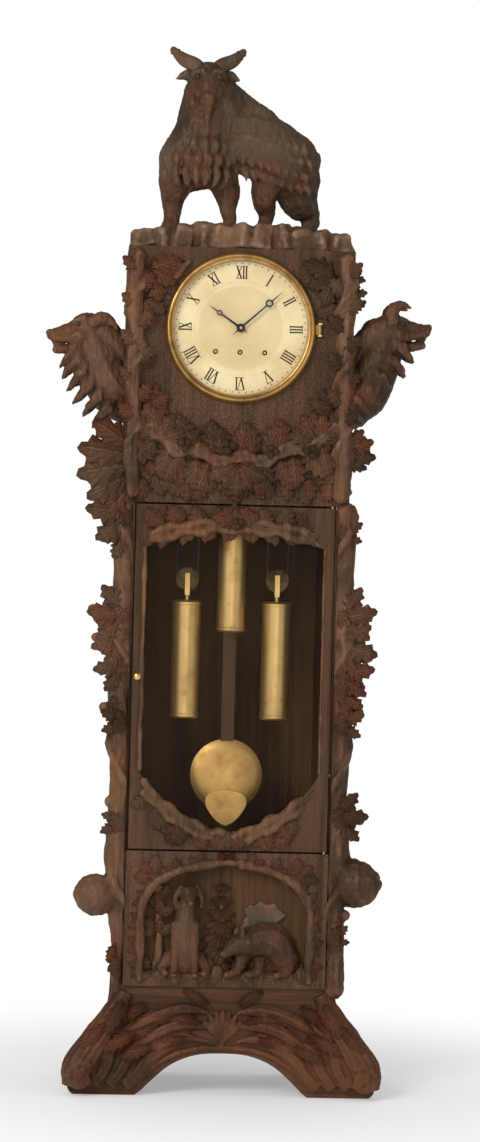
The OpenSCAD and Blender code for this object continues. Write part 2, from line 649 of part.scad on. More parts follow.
// Leaves on each pinion, and the teeth of the centre and third wheels
leaves = 8;
centre_teeth = 64;
third_teeth = 60;

// Seat board on its two cheeks, with a slot for each cable
great_pitch_r = great_module * great_teeth / 2;
great_dist = great_module * (great_teeth + leaves) / 2;
tooth_up = 0.65;
tooth_down = 1.05;
z_drum = z_dial - great_dist;
z_seat = z_drum - great_pitch_r - great_module * tooth_up - dial_gap;
rope_gap = 0.15;
rope_r = cable_r + rope_gap;
weight_pitch = drum_pitch + drum_r + pulley_r + 2 * rope_r;
y_plate = y_front + 17;
y_plate_in = y_plate + plate_t;
y_plate_out = y_plate_in + plate_gap;
y_plate_back = y_plate_out + plate_t;
y_weight = (y_plate_in + y_plate_out) / 2;
slot = 5;
// Places across the clock where each cable leaves its drum and where it ends
drop_x = [-drum_pitch - drum_r - rope_r, -drum_r - rope_r, drum_pitch + drum_r + rope_r];
weight_x = [-weight_pitch, drop_x[1] + pulley_r + rope_r, weight_pitch];
hook_x = [for (i = [0 : 2]) 2 * weight_x[i] - drop_x[i]];
cheek_x = case_x - board_t + 4;
seat_rim = 4;
seat_d = y_plate_back - y_plate + 2 * seat_rim;
module seat_board() color(dark_walnut) difference() {
    translate([-cheek_x, y_plate - seat_rim, z_seat - board_t]) cube([2 * cheek_x, seat_d, board_t]);
    for (x = drop_x) translate([x - slot, y_plate_in, z_seat - board_t - 1])
        cube([2 * slot, plate_gap, board_t + 2]);
}
module seat_cheeks() color(walnut) for (side = [-1, 1])
    translate([side * (cheek_x + board_t / 2), (y_plate + y_plate_back) / 2,
               (z_hood + board_t + z_seat) / 2])
        cube([board_t, seat_d, z_seat - z_hood - board_t], center = true);

// Wheels of the going train. Each tooth is narrower than its gap, so meshed wheels run free.
function tooth_ring(n, module_size, phase) =
    [for (i = [0 : n - 1], t = [[-0.26, -tooth_down], [-0.12, tooth_up],
                                [0.12, tooth_up], [0.26, -tooth_down]])
         let (a = phase + (i + t[0]) * 360 / n, r = module_size * (n / 2 + t[1])) [r * cos(a), r * sin(a)]];
module facing(x, y, z) translate([x, y, z]) rotate([90, 0, 0]) children();
module toothed(n, module_size, phase, thick)
    linear_extrude(thick) polygon(tooth_ring(n, module_size, phase));
module crossed_out(n, module_size) {
    r = module_size * n / 2;
    for (k = [0 : 4]) rotate(72 * k + 36) translate([0.58 * r, 0, -1])
        cylinder(h = 4 * wheel_t, r = 0.24 * r);
}
arbor_r = 2.5;
drum_arbor_r = 3;
pivot_small_r = 1.2;
mesh_shift = 180 / leaves;
y_great = y_plate_in + 1.5 + wheel_t;
y_centre = y_great + wheel_t + 2;
y_drum = y_centre + 2;
y_third = y_drum + wheel_t + 3;
y_escape = y_third + plate_gap / 3;

// Places of the arbors over the dial's centre
escape_up = 33;
anchor_up = escape_r + 6;
third_d = centre_module * (centre_teeth + leaves) / 2;
escape_d = third_module * (third_teeth + leaves) / 2;
third_z = (third_d * third_d - escape_d * escape_d + escape_up * escape_up) / (2 * escape_up);
third_x = sqrt(third_d * third_d - third_z * third_z);
third_angle = atan2(third_z, third_x);
escape_angle = atan2(escape_up - third_z, -third_x);
z_pivot = z_dial + escape_up + anchor_up;

// Motion work in front of the front plate
motion_module = 0.8;
cannon_teeth = 12;
minute_teeth = 36;
hour_leaves = 10;
hour_teeth = 40;
motion_d = motion_module * (cannon_teeth + minute_teeth) / 2;
hour_module = 2 * motion_d / (hour_leaves + hour_teeth);
y_cannon = y_plate - 4;
y_hour = y_cannon - wheel_t - 2;
stud_r = 2;
pipe_r = 4.5;

y_dial = y_hood + 4;
y_hour_hand = y_hood - 1.2;
hand_t = 1.5;
y_minute_hand = y_hour_hand - hand_t - 2;

module arbor(x, z, thick_r) {
    facing(x, y_plate_back, z) cylinder(h = y_plate_back - y_plate, r = pivot_small_r);
    facing(x, y_plate_out - 0.5, z) cylinder(h = plate_gap - 1, r = thick_r);
}
module great_wheel() color(brass) facing(0, y_great, z_drum) difference() {
    toothed(great_teeth, great_module, 90, wheel_t);
    translate([0, 0, -1]) cylinder(h = wheel_t + 2, r = drum_arbor_r + run_gap);
    crossed_out(great_teeth, great_module);
}
module centre_wheel() color(brass) {
    facing(0, y_plate_back, z_dial) cylinder(h = y_plate_back - y_minute_hand + hand_t, r = arbor_r);
    facing(0, y_great, z_dial) toothed(leaves, great_module, 270 + mesh_shift, wheel_t);
    facing(0, y_centre, z_dial) difference() {
        toothed(centre_teeth, centre_module, third_angle, wheel_t);
        crossed_out(centre_teeth, centre_module);
    }
    facing(0, y_cannon, z_dial) toothed(cannon_teeth, motion_module, 0, wheel_t);
}
module third_wheel() color(brass) {
    arbor(third_x, z_dial + third_z, 1.5);
    facing(third_x, y_centre, z_dial + third_z)
        toothed(leaves, centre_module, third_angle + 180 + mesh_shift, wheel_t);
    facing(third_x, y_third, z_dial + third_z) difference() {
        toothed(third_teeth, third_module, escape_angle, wheel_t);
        crossed_out(third_teeth, third_module);
    }
}
module escape_wheel() color(brass) {
    arbor(0, z_dial + escape_up, 1.5);
    facing(0, y_third, z_dial + escape_up)
        toothed(leaves, third_module, escape_angle + 180 + mesh_shift, wheel_t);
    facing(0, y_escape, z_dial + escape_up) linear_extrude(wheel_t / 2)
        polygon([for (i = [0 : 29], t = [[0, 0], [0.16, 0.2], [0.7, 0.2]])
                     let (a = (i + t[0]) * 12, r = escape_r * (1 - t[1])) [r * cos(a), r * sin(a)]]);
}
// Anchor with its arbor and the crutch that embraces the pendulum rod
y_pendulum = y_plate_back + 20;
anchor_arbor_r = 2;
crutch_l = 110;
pallet_gap = 0.6;
pallet_r = escape_r + anchor_up * sin(swing_deg) + pallet_gap;
module anchor() color(steel) {
    facing(0, y_plate_back + 6, z_pivot) cylinder(h = y_plate_back + 6 - y_plate, r = anchor_arbor_r);
    facing(0, y_escape, z_pivot) linear_extrude(wheel_t / 2) for (side = [-1, 1])
        polygon([[0, 4], [side * 12, -1], [side * (pallet_r * 0.72 + 4), -anchor_up + pallet_r * 0.66],
                 [side * pallet_r * 0.71, -anchor_up + pallet_r * 0.71], [side * 9, -4], [0, -3]]);
    translate([-3, y_plate_back + 3, z_pivot - crutch_l]) cube([6, 2, crutch_l]);
    translate([0, y_plate_back + 3, z_pivot - crutch_l - 2]) difference() {
        translate([-rod_w / 2 - 4, 0, 0]) cube([rod_w + 8, y_pendulum + rod_t / 2 - y_plate_back, 3]);
        translate([-rod_w / 2 - move_gap, 2, -1]) cube([rod_w + 2 * move_gap, 2 * rod_t + 20, 5]);
    }
}
module hour_wheel() color(brass) difference() {
    union() {
        facing(0, y_hour, z_dial) toothed(hour_teeth, hour_module, 180 / hour_teeth, wheel_t);
        facing(0, y_hour, z_dial) cylinder(h = y_hour - y_hour_hand + hand_t, r = pipe_r);
    }
    facing(0, y_hour + 1, z_dial) cylinder(h = y_hour - y_hour_hand + hand_t + 2, r = arbor_r + run_gap);
}
module motion_wheel() color(brass) facing(motion_d, 0, z_dial) difference() {
    union() {
        translate([0, 0, -y_cannon]) toothed(minute_teeth, motion_module, 180 + 180 / minute_teeth, wheel_t);
        translate([0, 0, -y_cannon]) cylinder(h = y_cannon - y_hour, r = 2.8);
        translate([0, 0, -y_hour]) toothed(hour_leaves, hour_module, 180, wheel_t);
    }
    translate([0, 0, -y_cannon - 1]) cylinder(h = y_cannon - y_hour + wheel_t + 2, r = stud_r + run_gap);
}

// Plates with their bearing holes, and the stud of the motion wheel
module bearing_holes(y) {
    for (k = [-1 : 1]) facing(k * drum_pitch, y + plate_t + 1, z_drum)
        cylinder(h = plate_t + 2, r = drum_arbor_r + run_gap);
    facing(0, y + plate_t + 1, z_dial) cylinder(h = plate_t + 2, r = arbor_r + run_gap);
    for (p = [[third_x, third_z], [0, escape_up]]) facing(p[0], y + plate_t + 1, z_dial + p[1])
        cylinder(h = plate_t + 2, r = pivot_small_r + run_gap);
    facing(0, y + plate_t + 1, z_pivot) cylinder(h = plate_t + 2, r = anchor_arbor_r + run_gap);
}
module movement_plates() color(brass) {
    for (y = [y_plate, y_plate_out]) difference() {
        translate([-plate_w / 2, y, z_seat]) cube([plate_w, plate_t, plate_h]);
        bearing_holes(y);
    }
    facing(motion_d, y_plate, z_dial) cylinder(h = y_plate - y_hour + wheel_t + 1, r = stud_r);
}
pillar_r = 5;
module plate_pillars() color(brass) for (sx = [-1, 1], sz = [0, 1])
    facing(sx * (plate_w / 2 - 2 * pillar_r), y_plate_out,
           z_seat + 2 * pillar_r + sz * (plate_h - 4 * pillar_r))
        rotate_extrude() polygon([[0, 0], [pillar_r, 0], [pillar_r, 6], [pillar_r * 0.7, 9],
                                  [pillar_r * 0.7, plate_gap - 9], [pillar_r, plate_gap - 6],
                                  [pillar_r, plate_gap], [0, plate_gap]]);

// Winding drum with its flanges, and an arbor that ends in a winding square at the dial
module drum(k) color(brass) {
    x = k * drum_pitch;
    drum_l = y_plate_out - 4 - y_drum;
    facing(x, y_plate_back, z_drum) cylinder(h = y_plate_back - y_plate, r = drum_arbor_r);
    facing(x, y_drum + drum_l, z_drum) cylinder(h = drum_l, r = drum_r);
    for (y = [y_drum + 2, y_drum + drum_l]) facing(x, y, z_drum) cylinder(h = 2, r = drum_r + 2);
    facing(x, y_plate, z_drum) rotate(45) cylinder(h = y_plate - y_dial, r = drum_arbor_r, $fn = 4);
}
module drum_left() drum(-1);
module drum_centre() drum(0);
module drum_right() drum(1);

// Pendulum: cock on the back plate, spring, rod, bob and nut
cock_w = 24;
z_rod_top = z_pivot - 62;
z_bob = z_pivot - pendulum_l;
thread_r = 2.5;
module pendulum_cock() color(brass) difference() {
    union() {
        translate([-cock_w / 2, y_plate_back, z_pivot + 6])
            cube([cock_w, y_pendulum + 6 - y_plate_back, 12]);
        translate([-cock_w / 2, y_pendulum - 6, z_pivot]) cube([cock_w, 12, 18]);
    }
    translate([-0.7, y_pendulum - 7, z_pivot - 1]) cube([1.4, 14, 6]);
}
module suspension_spring() color(steel) {
    translate([-0.2, y_pendulum - 4, z_pivot - 50]) cube([0.4, 8, 54]);
    translate([-rod_w / 4, y_pendulum - rod_t / 2, z_rod_top]) cube([rod_w / 2, rod_t, 14]);
}
module pendulum_rod() color(walnut) {
    translate([-rod_w / 2, y_pendulum - rod_t / 2, z_bob]) cube([rod_w, rod_t, z_rod_top - z_bob]);
    translate([0, y_pendulum, z_bob - bob_r - 16]) cylinder(h = bob_r + 20, r = thread_r);
}
// Right half of the leaf-shaped drop, from its tip up
function drop_half() =
    smooth([for (p = [[0, -1], [0.12, -0.94], [0.3, -0.78], [0.5, -0.42], [0.42, -0.12], [0, 0]])
                [drop_w * p[0], bob_r * p[1]]], 3);
module pendulum_bob() color(brass) difference() {
    union() {
        facing(0, y_pendulum, z_bob) rotate_extrude($fn = 96) polygon(concat(
            smooth([[0, bob_t / 2], [bob_r * 0.4, bob_t * 0.45], [bob_r * 0.8, bob_t * 0.27],
                    [bob_r, 2]], 4),
            reversed(smooth([[0, -bob_t / 2], [bob_r * 0.4, -bob_t * 0.45], [bob_r * 0.8, -bob_t * 0.27],
                             [bob_r, -2]], 4))));
        facing(0, y_pendulum - rod_t - 1, z_bob - bob_r * 0.4) linear_extrude(bob_t / 2 - rod_t + 2)
            polygon(concat(drop_half(), reversed(mirrored(drop_half()))));
    }
    translate([-rod_w / 2, y_pendulum - rod_t / 2, z_bob]) cube([rod_w, rod_t, 2 * bob_r]);
    translate([0, y_pendulum, z_bob - 2 * bob_r]) cylinder(h = 2 * bob_r + 1, r = thread_r);
}
module rating_nut() color(brass) translate([0, y_pendulum, z_bob - bob_r - 11]) difference() {
    cylinder(h = 9, r = 8);
    translate([0, 0, -1]) cylinder(h = 11, r = thread_r);
}

// Weights with their stirrups, pulleys and cables
weight_z = [for (i = [0 : 2]) z_floor_top + side_weight_z + (i == 1 ? centre_rise : 0)];
pulley_pin_r = 2.5;
pulley_out = pulley_r + 4;
pulley_up = pulley_out + 20;
module weight(i) color(brass) translate([weight_x[i], y_weight, weight_z[i]]) {
    rotate_extrude() polygon([[0, 0], [weight_r - 4, 0], [weight_r, 4], [weight_r, 9], [weight_r - 1, 10],
                              [weight_r - 1, weight_l - 10], [weight_r, weight_l - 9],
                              [weight_r, weight_l - 4], [weight_r - 4, weight_l], [4, weight_l],
                              [4, weight_l + 12], [0, weight_l + 12]]);
    translate([-5, -8, weight_l + 10]) cube([10, 16, 5]);
    for (y = [-8, 5.5]) translate([-5, y, weight_l + 10]) cube([10, 2.5, pulley_up + 2]);
    translate([0, 8, weight_l + pulley_up]) rotate([90, 0, 0]) cylinder(h = 16, r = pulley_pin_r);
}
module pulley(i) color(brass) translate([weight_x[i], y_weight, weight_z[i] + weight_l + pulley_up])
    rotate([90, 0, 0]) difference() {
        rotate_extrude() polygon([[0, -4], [pulley_out, -4], [pulley_out, -3], [pulley_r, -1.2],
                                  [pulley_r, 1.2], [pulley_out, 3], [pulley_out, 4], [0, 4]]);
        cylinder(h = 10, r = pulley_pin_r + run_gap, center = true);
    }
module cable(i) color(steel) {
    z_pulley = weight_z[i] + weight_l + pulley_up;
    translate([drop_x[i], y_weight, z_pulley]) cylinder(h = z_drum - z_pulley, r = cable_r, $fn = 16);
    translate([hook_x[i], y_weight, z_pulley])
        cylinder(h = z_seat - board_t - z_pulley, r = cable_r, $fn = 16);
    translate([weight_x[i], y_weight, z_pulley]) rotate([90, 0, 0]) rotate(180)
        rotate_extrude(angle = 180) translate([pulley_r + rope_r, 0]) circle(cable_r, $fn = 16);
}
module weight_left() weight(0);
module weight_centre() weight(1);
module weight_right() weight(2);
module pulley_left() pulley(0);
module pulley_centre() pulley(1);
module pulley_right() pulley(2);
module cable_left() cable(0);
module cable_centre() cable(1);
module cable_right() cable(2);

// Chime rods on the back board, with the hammers on one arbor
rods = 4;
chime_x = 120;
chime_pitch = 17;
chime_w = (rods - 1) * chime_pitch;
chime_rim = 14;
chime_z = z_top - 70;
chime_rod_r = 3.5;
longest_rod = 390;
rod_step = 20;
block_d = 30;
block_h = 25;
bracket_t = 4;
arm_l = 34;
arbor_end = 6;
hammer_arbor_r = 2;
hammer_z = chime_z - 14;
y_rod = y_inside - 20;
y_hammer = y_inside - 50;
module chime_rods() color(steel) difference() {
    union() {
        translate([chime_x - chime_rim, y_inside - block_d, chime_z])
            cube([chime_w + 2 * chime_rim, block_d, block_h]);
        for (k = [0 : rods - 1])
            translate([chime_x + k * chime_pitch, y_rod, chime_z - longest_rod + rod_step * k])
                cylinder(h = longest_rod - rod_step * k + 2, r = chime_rod_r);
        for (x = [chime_x - chime_rim, chime_x + chime_w + chime_rim - bracket_t])
            translate([x, y_hammer - arbor_end, hammer_z - arbor_end])
                cube([bracket_t, y_inside - block_d - y_hammer + 2 * arbor_end,
                      chime_z - hammer_z + block_h + arbor_end]);
    }
    translate([chime_x - chime_rim - 1, y_hammer, hammer_z]) rotate([0, 90, 0])
        cylinder(h = chime_w + 2 * chime_rim + 2, r = hammer_arbor_r + run_gap);
}
module hammer() color(steel) {
    y_strike = y_rod - chime_rod_r - 2;
    translate([chime_x - chime_rim, y_hammer, hammer_z]) rotate([0, 90, 0])
        cylinder(h = chime_w + 2 * chime_rim, r = hammer_arbor_r);
    for (k = [0 : rods - 1]) translate([chime_x + k * chime_pitch, y_hammer, hammer_z]) {
        translate([-1.5, -1.5, -arm_l]) cube([3, 3, arm_l]);
        translate([0, y_strike - y_hammer, -arm_l]) rotate([90, 0, 0])
            cylinder(h = y_strike - y_hammer + 4, r = 5);
    }
}

// Dial with a raised chapter ring and feet that stand on the front plate
dial_feet_x = plate_w / 2 - 16;
module dial_plate() color(cream) difference() {
    union() {
        facing(0, y_dial + dial_t, z_dial) cylinder(h = dial_t, r = dial_r, $fn = 96);
        facing(0, y_dial, z_dial) difference() {
            cylinder(h = 1, r = dial_r - 8, $fn = 96);
            translate([0, 0, -1]) cylinder(h = 3, r = dial_r * 0.66, $fn = 96);
        }
        for (sx = [-1, 1], z = [-dial_r * 0.58, dial_r * 0.4]) facing(sx * dial_feet_x, y_plate, z_dial + z)
            cylinder(h = y_plate - y_dial - 1, r = 3);
    }
    facing(0, y_plate, z_dial) cylinder(h = y_plate - y_dial + 5, r = pipe_r + 1.5);
    for (k = [-1 : 1]) facing(k * drum_pitch, y_plate, z_drum) cylinder(h = y_plate - y_dial + 5, r = 5.5);
}
hinge_x = bezel_r + 6;
hinge_y = y_hood - 6;
knuckle_r = 4;
module bezel() color(brass) difference() {
    union() {
        facing(0, y_hood - move_gap, z_dial) rotate_extrude($fn = 96) polygon(concat(
            [[bezel_r - bezel_w, 0]],
            smooth([[bezel_r, 0], [bezel_r - 1, bezel_d * 0.4], [bezel_r - bezel_w * 0.3, bezel_d * 0.9],
                    [bezel_r - bezel_w * 0.55, bezel_d], [bezel_r - bezel_w * 0.8, bezel_d * 0.75],
                    [bezel_r - bezel_w, bezel_d * 0.7]], 3)));
        translate([hinge_x, hinge_y, z_dial - 10]) cylinder(h = 20, r = knuckle_r);
        translate([bezel_r - 4, hinge_y - 2, z_dial - 10]) cube([hinge_x - bezel_r + 4, 4, 20]);
    }
    translate([hinge_x, hinge_y, z_dial - 11]) cylinder(h = 22, r = 2 + run_gap);
}
module dial_glass() color(clear) facing(0, y_hood - bezel_d * 0.45, z_dial)
    cylinder(h = 2, r = bezel_r - bezel_w, $fn = 96);

// Hands, pointing to twelve before they are turned to the time
module hand(length, hub_r, bore_r) difference() {
    ring_z = length * 0.66;
    ring_r = length * 0.07;
    union() {
        cylinder(h = hand_t, r = hub_r);
        translate([0, ring_z, 0]) cylinder(h = hand_t, r = ring_r);
        linear_extrude(hand_t) polygon([[-2.2, bore_r], [-1.6, ring_z - ring_r + 1],
                                        [1.6, ring_z - ring_r + 1], [2.2, bore_r]]);
        linear_extrude(hand_t) polygon([[-1.8, ring_z + ring_r - 1], [0, length],
                                        [1.8, ring_z + ring_r - 1]]);
        linear_extrude(hand_t) polygon([[-2, -bore_r], [2, -bore_r], [0, -length * 0.22]]);
    }
    translate([0, 0, -1]) cylinder(h = hand_t + 2, r = bore_r);
    translate([0, ring_z, -1]) cylinder(h = hand_t + 2, r = ring_r * 0.55);
}
module hour_hand() color(steel) translate([0, y_hour_hand, z_dial])
    rotate([0, time_min / 2, 0]) rotate([90, 0, 0]) hand(hour_l, 9, pipe_r);
module minute_hand() color(steel) translate([0, y_minute_hand, z_dial])
    rotate([0, time_min % 60 * 6, 0]) rotate([90, 0, 0]) hand(minute_l, 7, arbor_r);

front_skirt();
plain_skirts();
front_foot_left();
front_foot_right();
case_sides();
back_boards();
trunk_floor();
pedestal_front();
recess_panel();
sitting_hound();
resting_bear();
trunk_door();
door_carving();
door_glass();
hinge_pins();
door_knob();
branch_column_left();
branch_column_right();
hood_boards();
hood_front();
hood_carving();
hound_head_left();
hound_head_right();
rocky_ledge();
ibex();
seat_board();
seat_cheeks();
movement_plates();
plate_pillars();
drum_left();
drum_centre();
drum_right();
great_wheel();
centre_wheel();
third_wheel();
escape_wheel();
anchor();
hour_wheel();
motion_wheel();
pendulum_cock();
suspension_spring();
pendulum_rod();
pendulum_bob();
rating_nut();
weight_left();
weight_centre();
weight_right();
pulley_left();
pulley_centre();
pulley_right();
cable_left();
cable_centre();
cable_right();
chime_rods();
hammer();
dial_plate();
bezel();
dial_glass();
hour_hand();
minute_hand();
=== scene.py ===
import math
import random

import bpy
import numpy as np
from mathutils import Matrix, Vector


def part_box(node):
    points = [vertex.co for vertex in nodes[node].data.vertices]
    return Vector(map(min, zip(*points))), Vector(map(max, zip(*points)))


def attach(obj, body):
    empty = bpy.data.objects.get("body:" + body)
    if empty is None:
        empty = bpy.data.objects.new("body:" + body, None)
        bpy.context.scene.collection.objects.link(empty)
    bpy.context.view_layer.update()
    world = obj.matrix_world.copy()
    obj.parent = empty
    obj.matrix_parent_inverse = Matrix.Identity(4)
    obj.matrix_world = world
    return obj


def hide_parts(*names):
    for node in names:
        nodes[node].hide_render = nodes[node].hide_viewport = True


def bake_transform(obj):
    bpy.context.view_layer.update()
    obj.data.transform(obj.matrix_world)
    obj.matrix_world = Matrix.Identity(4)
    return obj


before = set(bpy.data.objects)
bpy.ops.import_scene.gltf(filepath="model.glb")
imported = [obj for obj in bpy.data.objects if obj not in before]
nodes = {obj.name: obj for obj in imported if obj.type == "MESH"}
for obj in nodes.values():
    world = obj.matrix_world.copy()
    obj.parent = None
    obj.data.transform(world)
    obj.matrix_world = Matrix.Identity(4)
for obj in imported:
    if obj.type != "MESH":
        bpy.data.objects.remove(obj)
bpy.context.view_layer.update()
random.seed(7)
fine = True


# Shader maths: a socket that reads as a value in plain expressions
class Wire:
    def __init__(self, tree, socket=None):
        self.tree = tree
        self.socket = socket

    def node(self, kind, settings=None, inputs=None, out=0):
        made = self.tree.nodes.new("ShaderNode" + kind)
        for name, value in (settings or {}).items():
            setattr(made, name, value)
        for name, value in (inputs or {}).items():
            if isinstance(value, Wire):
                self.tree.links.new(value.socket, made.inputs[name])
            else:
                made.inputs[name].default_value = value
        return Wire(self.tree, made.outputs[out])

    def math(self, operation, *values):
        return self.node("Math", {"operation": operation}, dict(enumerate(values)))

    def __add__(self, other):
        return self.math("ADD", self, other)

    def __radd__(self, other):
        return self.math("ADD", other, self)

    def __sub__(self, other):
        return self.math("SUBTRACT", self, other)

    def __rsub__(self, other):
        return self.math("SUBTRACT", other, self)

    def __mul__(self, other):
        return self.math("MULTIPLY", self, other)

    def __rmul__(self, other):
        return self.math("MULTIPLY", other, self)

    def __truediv__(self, other):
        return self.math("DIVIDE", self, other)

    def __pow__(self, other):
        return self.math("POWER", self, other)

    def clamped(self):
        return self.node("Clamp", None, {"Value": self})

    def step(self, low, high):
        return self.node("MapRange", {"interpolation_type": "SMOOTHSTEP"},
                         {"Value": self, "From Min": low, "From Max": high})

    def blend(self, a, b):
        return self.node("Mix", {"data_type": "RGBA"}, {0: self, 6: a, 7: b}, out=2)


def srgb(r, g, b):
    return tuple(((c / 255 + 0.055) / 1.055) ** 2.4 for c in (r, g, b)) + (1,)


def darker(colour, share):
    return tuple(c * share for c in colour[:3]) + (1,)


# A new material with its tree's wire, its Object coordinates and its shader
def newMaterial(name, **settings):
    material = bpy.data.materials.new(name)
    material.use_nodes = True
    tree = material.node_tree
    shader = tree.nodes["Principled BSDF"]
    for socket, value in settings.items():
        shader.inputs[socket.replace("_", " ")].default_value = value
    wire = Wire(tree)
    place = wire.node("TexCoord", out="Object")
    return material, wire, place, shader


def finishMaterial(wire, shader, colour, roughness, height, distance):
    bump = wire.node("Bump", None, {"Height": height, "Distance": distance})
    for socket, value in {"Base Color": colour, "Roughness": roughness, "Normal": bump}.items():
        wire.tree.links.new(value.socket, shader.inputs[socket])


def stretched(wire, place, scale):
    return wire.node("Mapping", None, {"Vector": place, "Scale": scale})


def noise(wire, vector, scale, detail=4.0, rough=0.55, twist=0.0):
    return wire.node("TexNoise", None, {"Vector": vector, "Scale": scale, "Detail": detail,
                                        "Roughness": rough, "Distortion": twist})


# Old wax colours what the wood reflects
waxTint = (1.0, 0.74, 0.52, 1)


# Carved walnut. Raised wood is rubbed lighter and redder; hollows are darkened with painted shade and left
# rougher.
def carvedWalnut(name, deep, mid, worn, grain=(1, 1, 0.1), gouge=85, tuft=(1, 1, 1), relief=0.0011):
    material, wire, place, shader = newMaterial(name, Specular_IOR_Level=0.34, Specular_Tint=waxTint)
    fibre = noise(wire, stretched(wire, place, grain), 110, 5, 0.6, 0.5)
    pores = noise(wire, stretched(wire, place, grain), 460, 3, 0.7).step(0.56, 0.74)
    patch = noise(wire, place, 6, 3, 0.5).step(0.3, 0.72)
    cuts = wire.node("TexVoronoi", {"feature": "SMOOTH_F1"},
                     {"Vector": stretched(wire, place, tuft), "Scale": gouge, "Smoothness": 0.4})
    # Wear and painted shade: high on rubbed ridges, low in hollows, which get painted shade
    high = wire.node("Attribute", {"attribute_name": "wear_and_shade"}, out="Fac")
    tone_and_shade = wire.node("Attribute", {"attribute_name": "tone_and_shade"}, out="Fac")
    along = wire.node("Attribute", {"attribute_name": "leaf_along"}, out="Fac")
    across = wire.math("ABSOLUTE", wire.node("Attribute", {"attribute_name": "leaf_across"}, out="Fac"))
    leaf = along.step(0.0, 0.04)
    row = wire.math("ABSOLUTE", wire.math("FRACT", (along - across * 0.3) * 6) - 0.5)
    vein = leaf * (1 - row.step(0.03, 0.2)) * across.step(0.02, 0.2)
    rib = leaf * (1 - across.step(0.05, 0.2))
    maskNoise = noise(wire, place, 42, 4, 0.65)
    rub = (high + (maskNoise - 0.5) * 0.5).step(0.5, 1.0)
    # Painted shade: hollows, where the wear-and-shade attribute is low, are darkened
    hollowShade = 1 - (high + (maskNoise - 0.5) * 0.35).step(0.05, 0.48)
    body = (fibre * 0.5 + patch * 0.5).step(0.22, 0.78).blend(deep, mid)
    hue = noise(wire, place, 8, 2, 0.5)
    body = (hue.step(0.53, 0.7) * 0.4).blend(body, srgb(104, 56, 35))
    body = ((1 - hue).step(0.53, 0.7) * 0.3).blend(body, srgb(70, 62, 50))
    body = (tone_and_shade * (0.5 + fibre * 0.5)).clamped().blend(body, srgb(94, 49, 29))
    # Painted shade: a tone below zero, given to the hood's right-hand leaves, darkens them
    body = (tone_and_shade * -0.8).clamped().blend(body, darker(deep, 0.8))
    body = (rub * (0.35 + fibre * 0.6)).clamped().blend(body, worn)
    # Painted shade on the leaf blade between the veins and the rib
    leafHollowShade = leaf * (1 - vein) * (1 - rib) * 0.14
    # Painted shade in hollows and between leaf veins, together with the real dark pores
    body = (hollowShade * 0.6 + pores * 0.22 + leafHollowShade).clamped().blend(body, darker(deep, 0.38))
    rough = 0.46 - rub * 0.12 + hollowShade * 0.26 + fibre * 0.12
    height = fibre * 0.3 - pores * 0.3 + cuts * 0.9 + vein * 1.6 + rib * 2.4
    finishMaterial(wire, shader, body, rough, height, relief)
    return material


# Planed walnut boards with figure, pores and small knocks. A ground can be punched.
def boardWalnut(name, deep, mid, worn, grain=(1, 1, 0.06), punched=0.0, gloss=0.4):
    material, wire, place, shader = newMaterial(name, Specular_IOR_Level=0.3, Specular_Tint=waxTint)
    figure = noise(wire, stretched(wire, place, grain), 16, 4, 0.55, 1.4)
    fibre = noise(wire, stretched(wire, place, grain), 120, 5, 0.62, 0.3)
    longGrain = (grain[0], grain[1], grain[2] * 0.6)
    pores = noise(wire, stretched(wire, place, longGrain), 520, 3, 0.7).step(0.56, 0.72)
    knocks = noise(wire, place, 75, 2, 0.5).step(0.7, 0.8)
    cloud = noise(wire, place, 3.5, 3, 0.5).step(0.35, 0.7)
    body = (figure * 0.6 + fibre * 0.4).step(0.32, 0.68).blend(deep, mid)
    body = (cloud * 0.4 * fibre + knocks * 0.25).clamped().blend(body, worn)
    body = (pores * 0.45).blend(body, darker(deep, 0.4))
    height = fibre * 0.25 - pores * 0.3 - knocks * 0.4
    if punched:
        dots = wire.node("TexVoronoi", {"feature": "F1"}, {"Vector": place, "Scale": 210, "Randomness": 0.7})
        pit = 1 - dots.step(0.1, 0.55)
        body = (pit * punched).blend(body, darker(deep, 0.35))
        height = height - pit * 1.6
    rough = gloss + fibre * 0.14 + pores * 0.12 - cloud * 0.05
    finishMaterial(wire, shader, body, rough, height, 0.0006)
    return material


# Aged brass with rubbed highlights and brown tarnish
def brassMaterial(name, light, dark, scale=60, brush=(1, 1, 1), roughness=0.3, cover=0.55):
    material, wire, place, shader = newMaterial(name, Metallic=0.92)
    tarnish = noise(wire, place, scale, 5, 0.6, 0.3)
    cloud = noise(wire, place, scale / 5, 3, 0.5)
    lines = noise(wire, stretched(wire, place, brush), 380, 3, 0.6)
    spots = noise(wire, place, scale * 4, 3, 0.6).step(0.62, 0.76)
    age = (tarnish * 0.5 + cloud * 0.5).step(0.66 - cover * 0.4, 1.0 - cover * 0.4)
    colour = age.blend(light, dark)
    colour = (spots * 0.45).blend(colour, darker(dark, 0.4))
    rough = roughness + age * 0.2 + lines * 0.12 + spots * 0.1
    finishMaterial(wire, shader, colour, rough, lines * 0.5 + tarnish * 0.3 - spots * 0.2, 0.0003)
    return material


def steelMaterial(name, dark, light):
    material, wire, place, shader = newMaterial(name, Metallic=0.85)
    scratch = noise(wire, stretched(wire, place, (1, 1, 0.1)), 300, 4, 0.6)
    cloud = noise(wire, place, 25, 3, 0.5)
    colour = (cloud * 0.7 + scratch * 0.3).step(0.3, 0.7).blend(dark, light)
    finishMaterial(wire, shader, colour, 0.3 + scratch * 0.2 + cloud * 0.1, scratch, 0.0002)
    return material


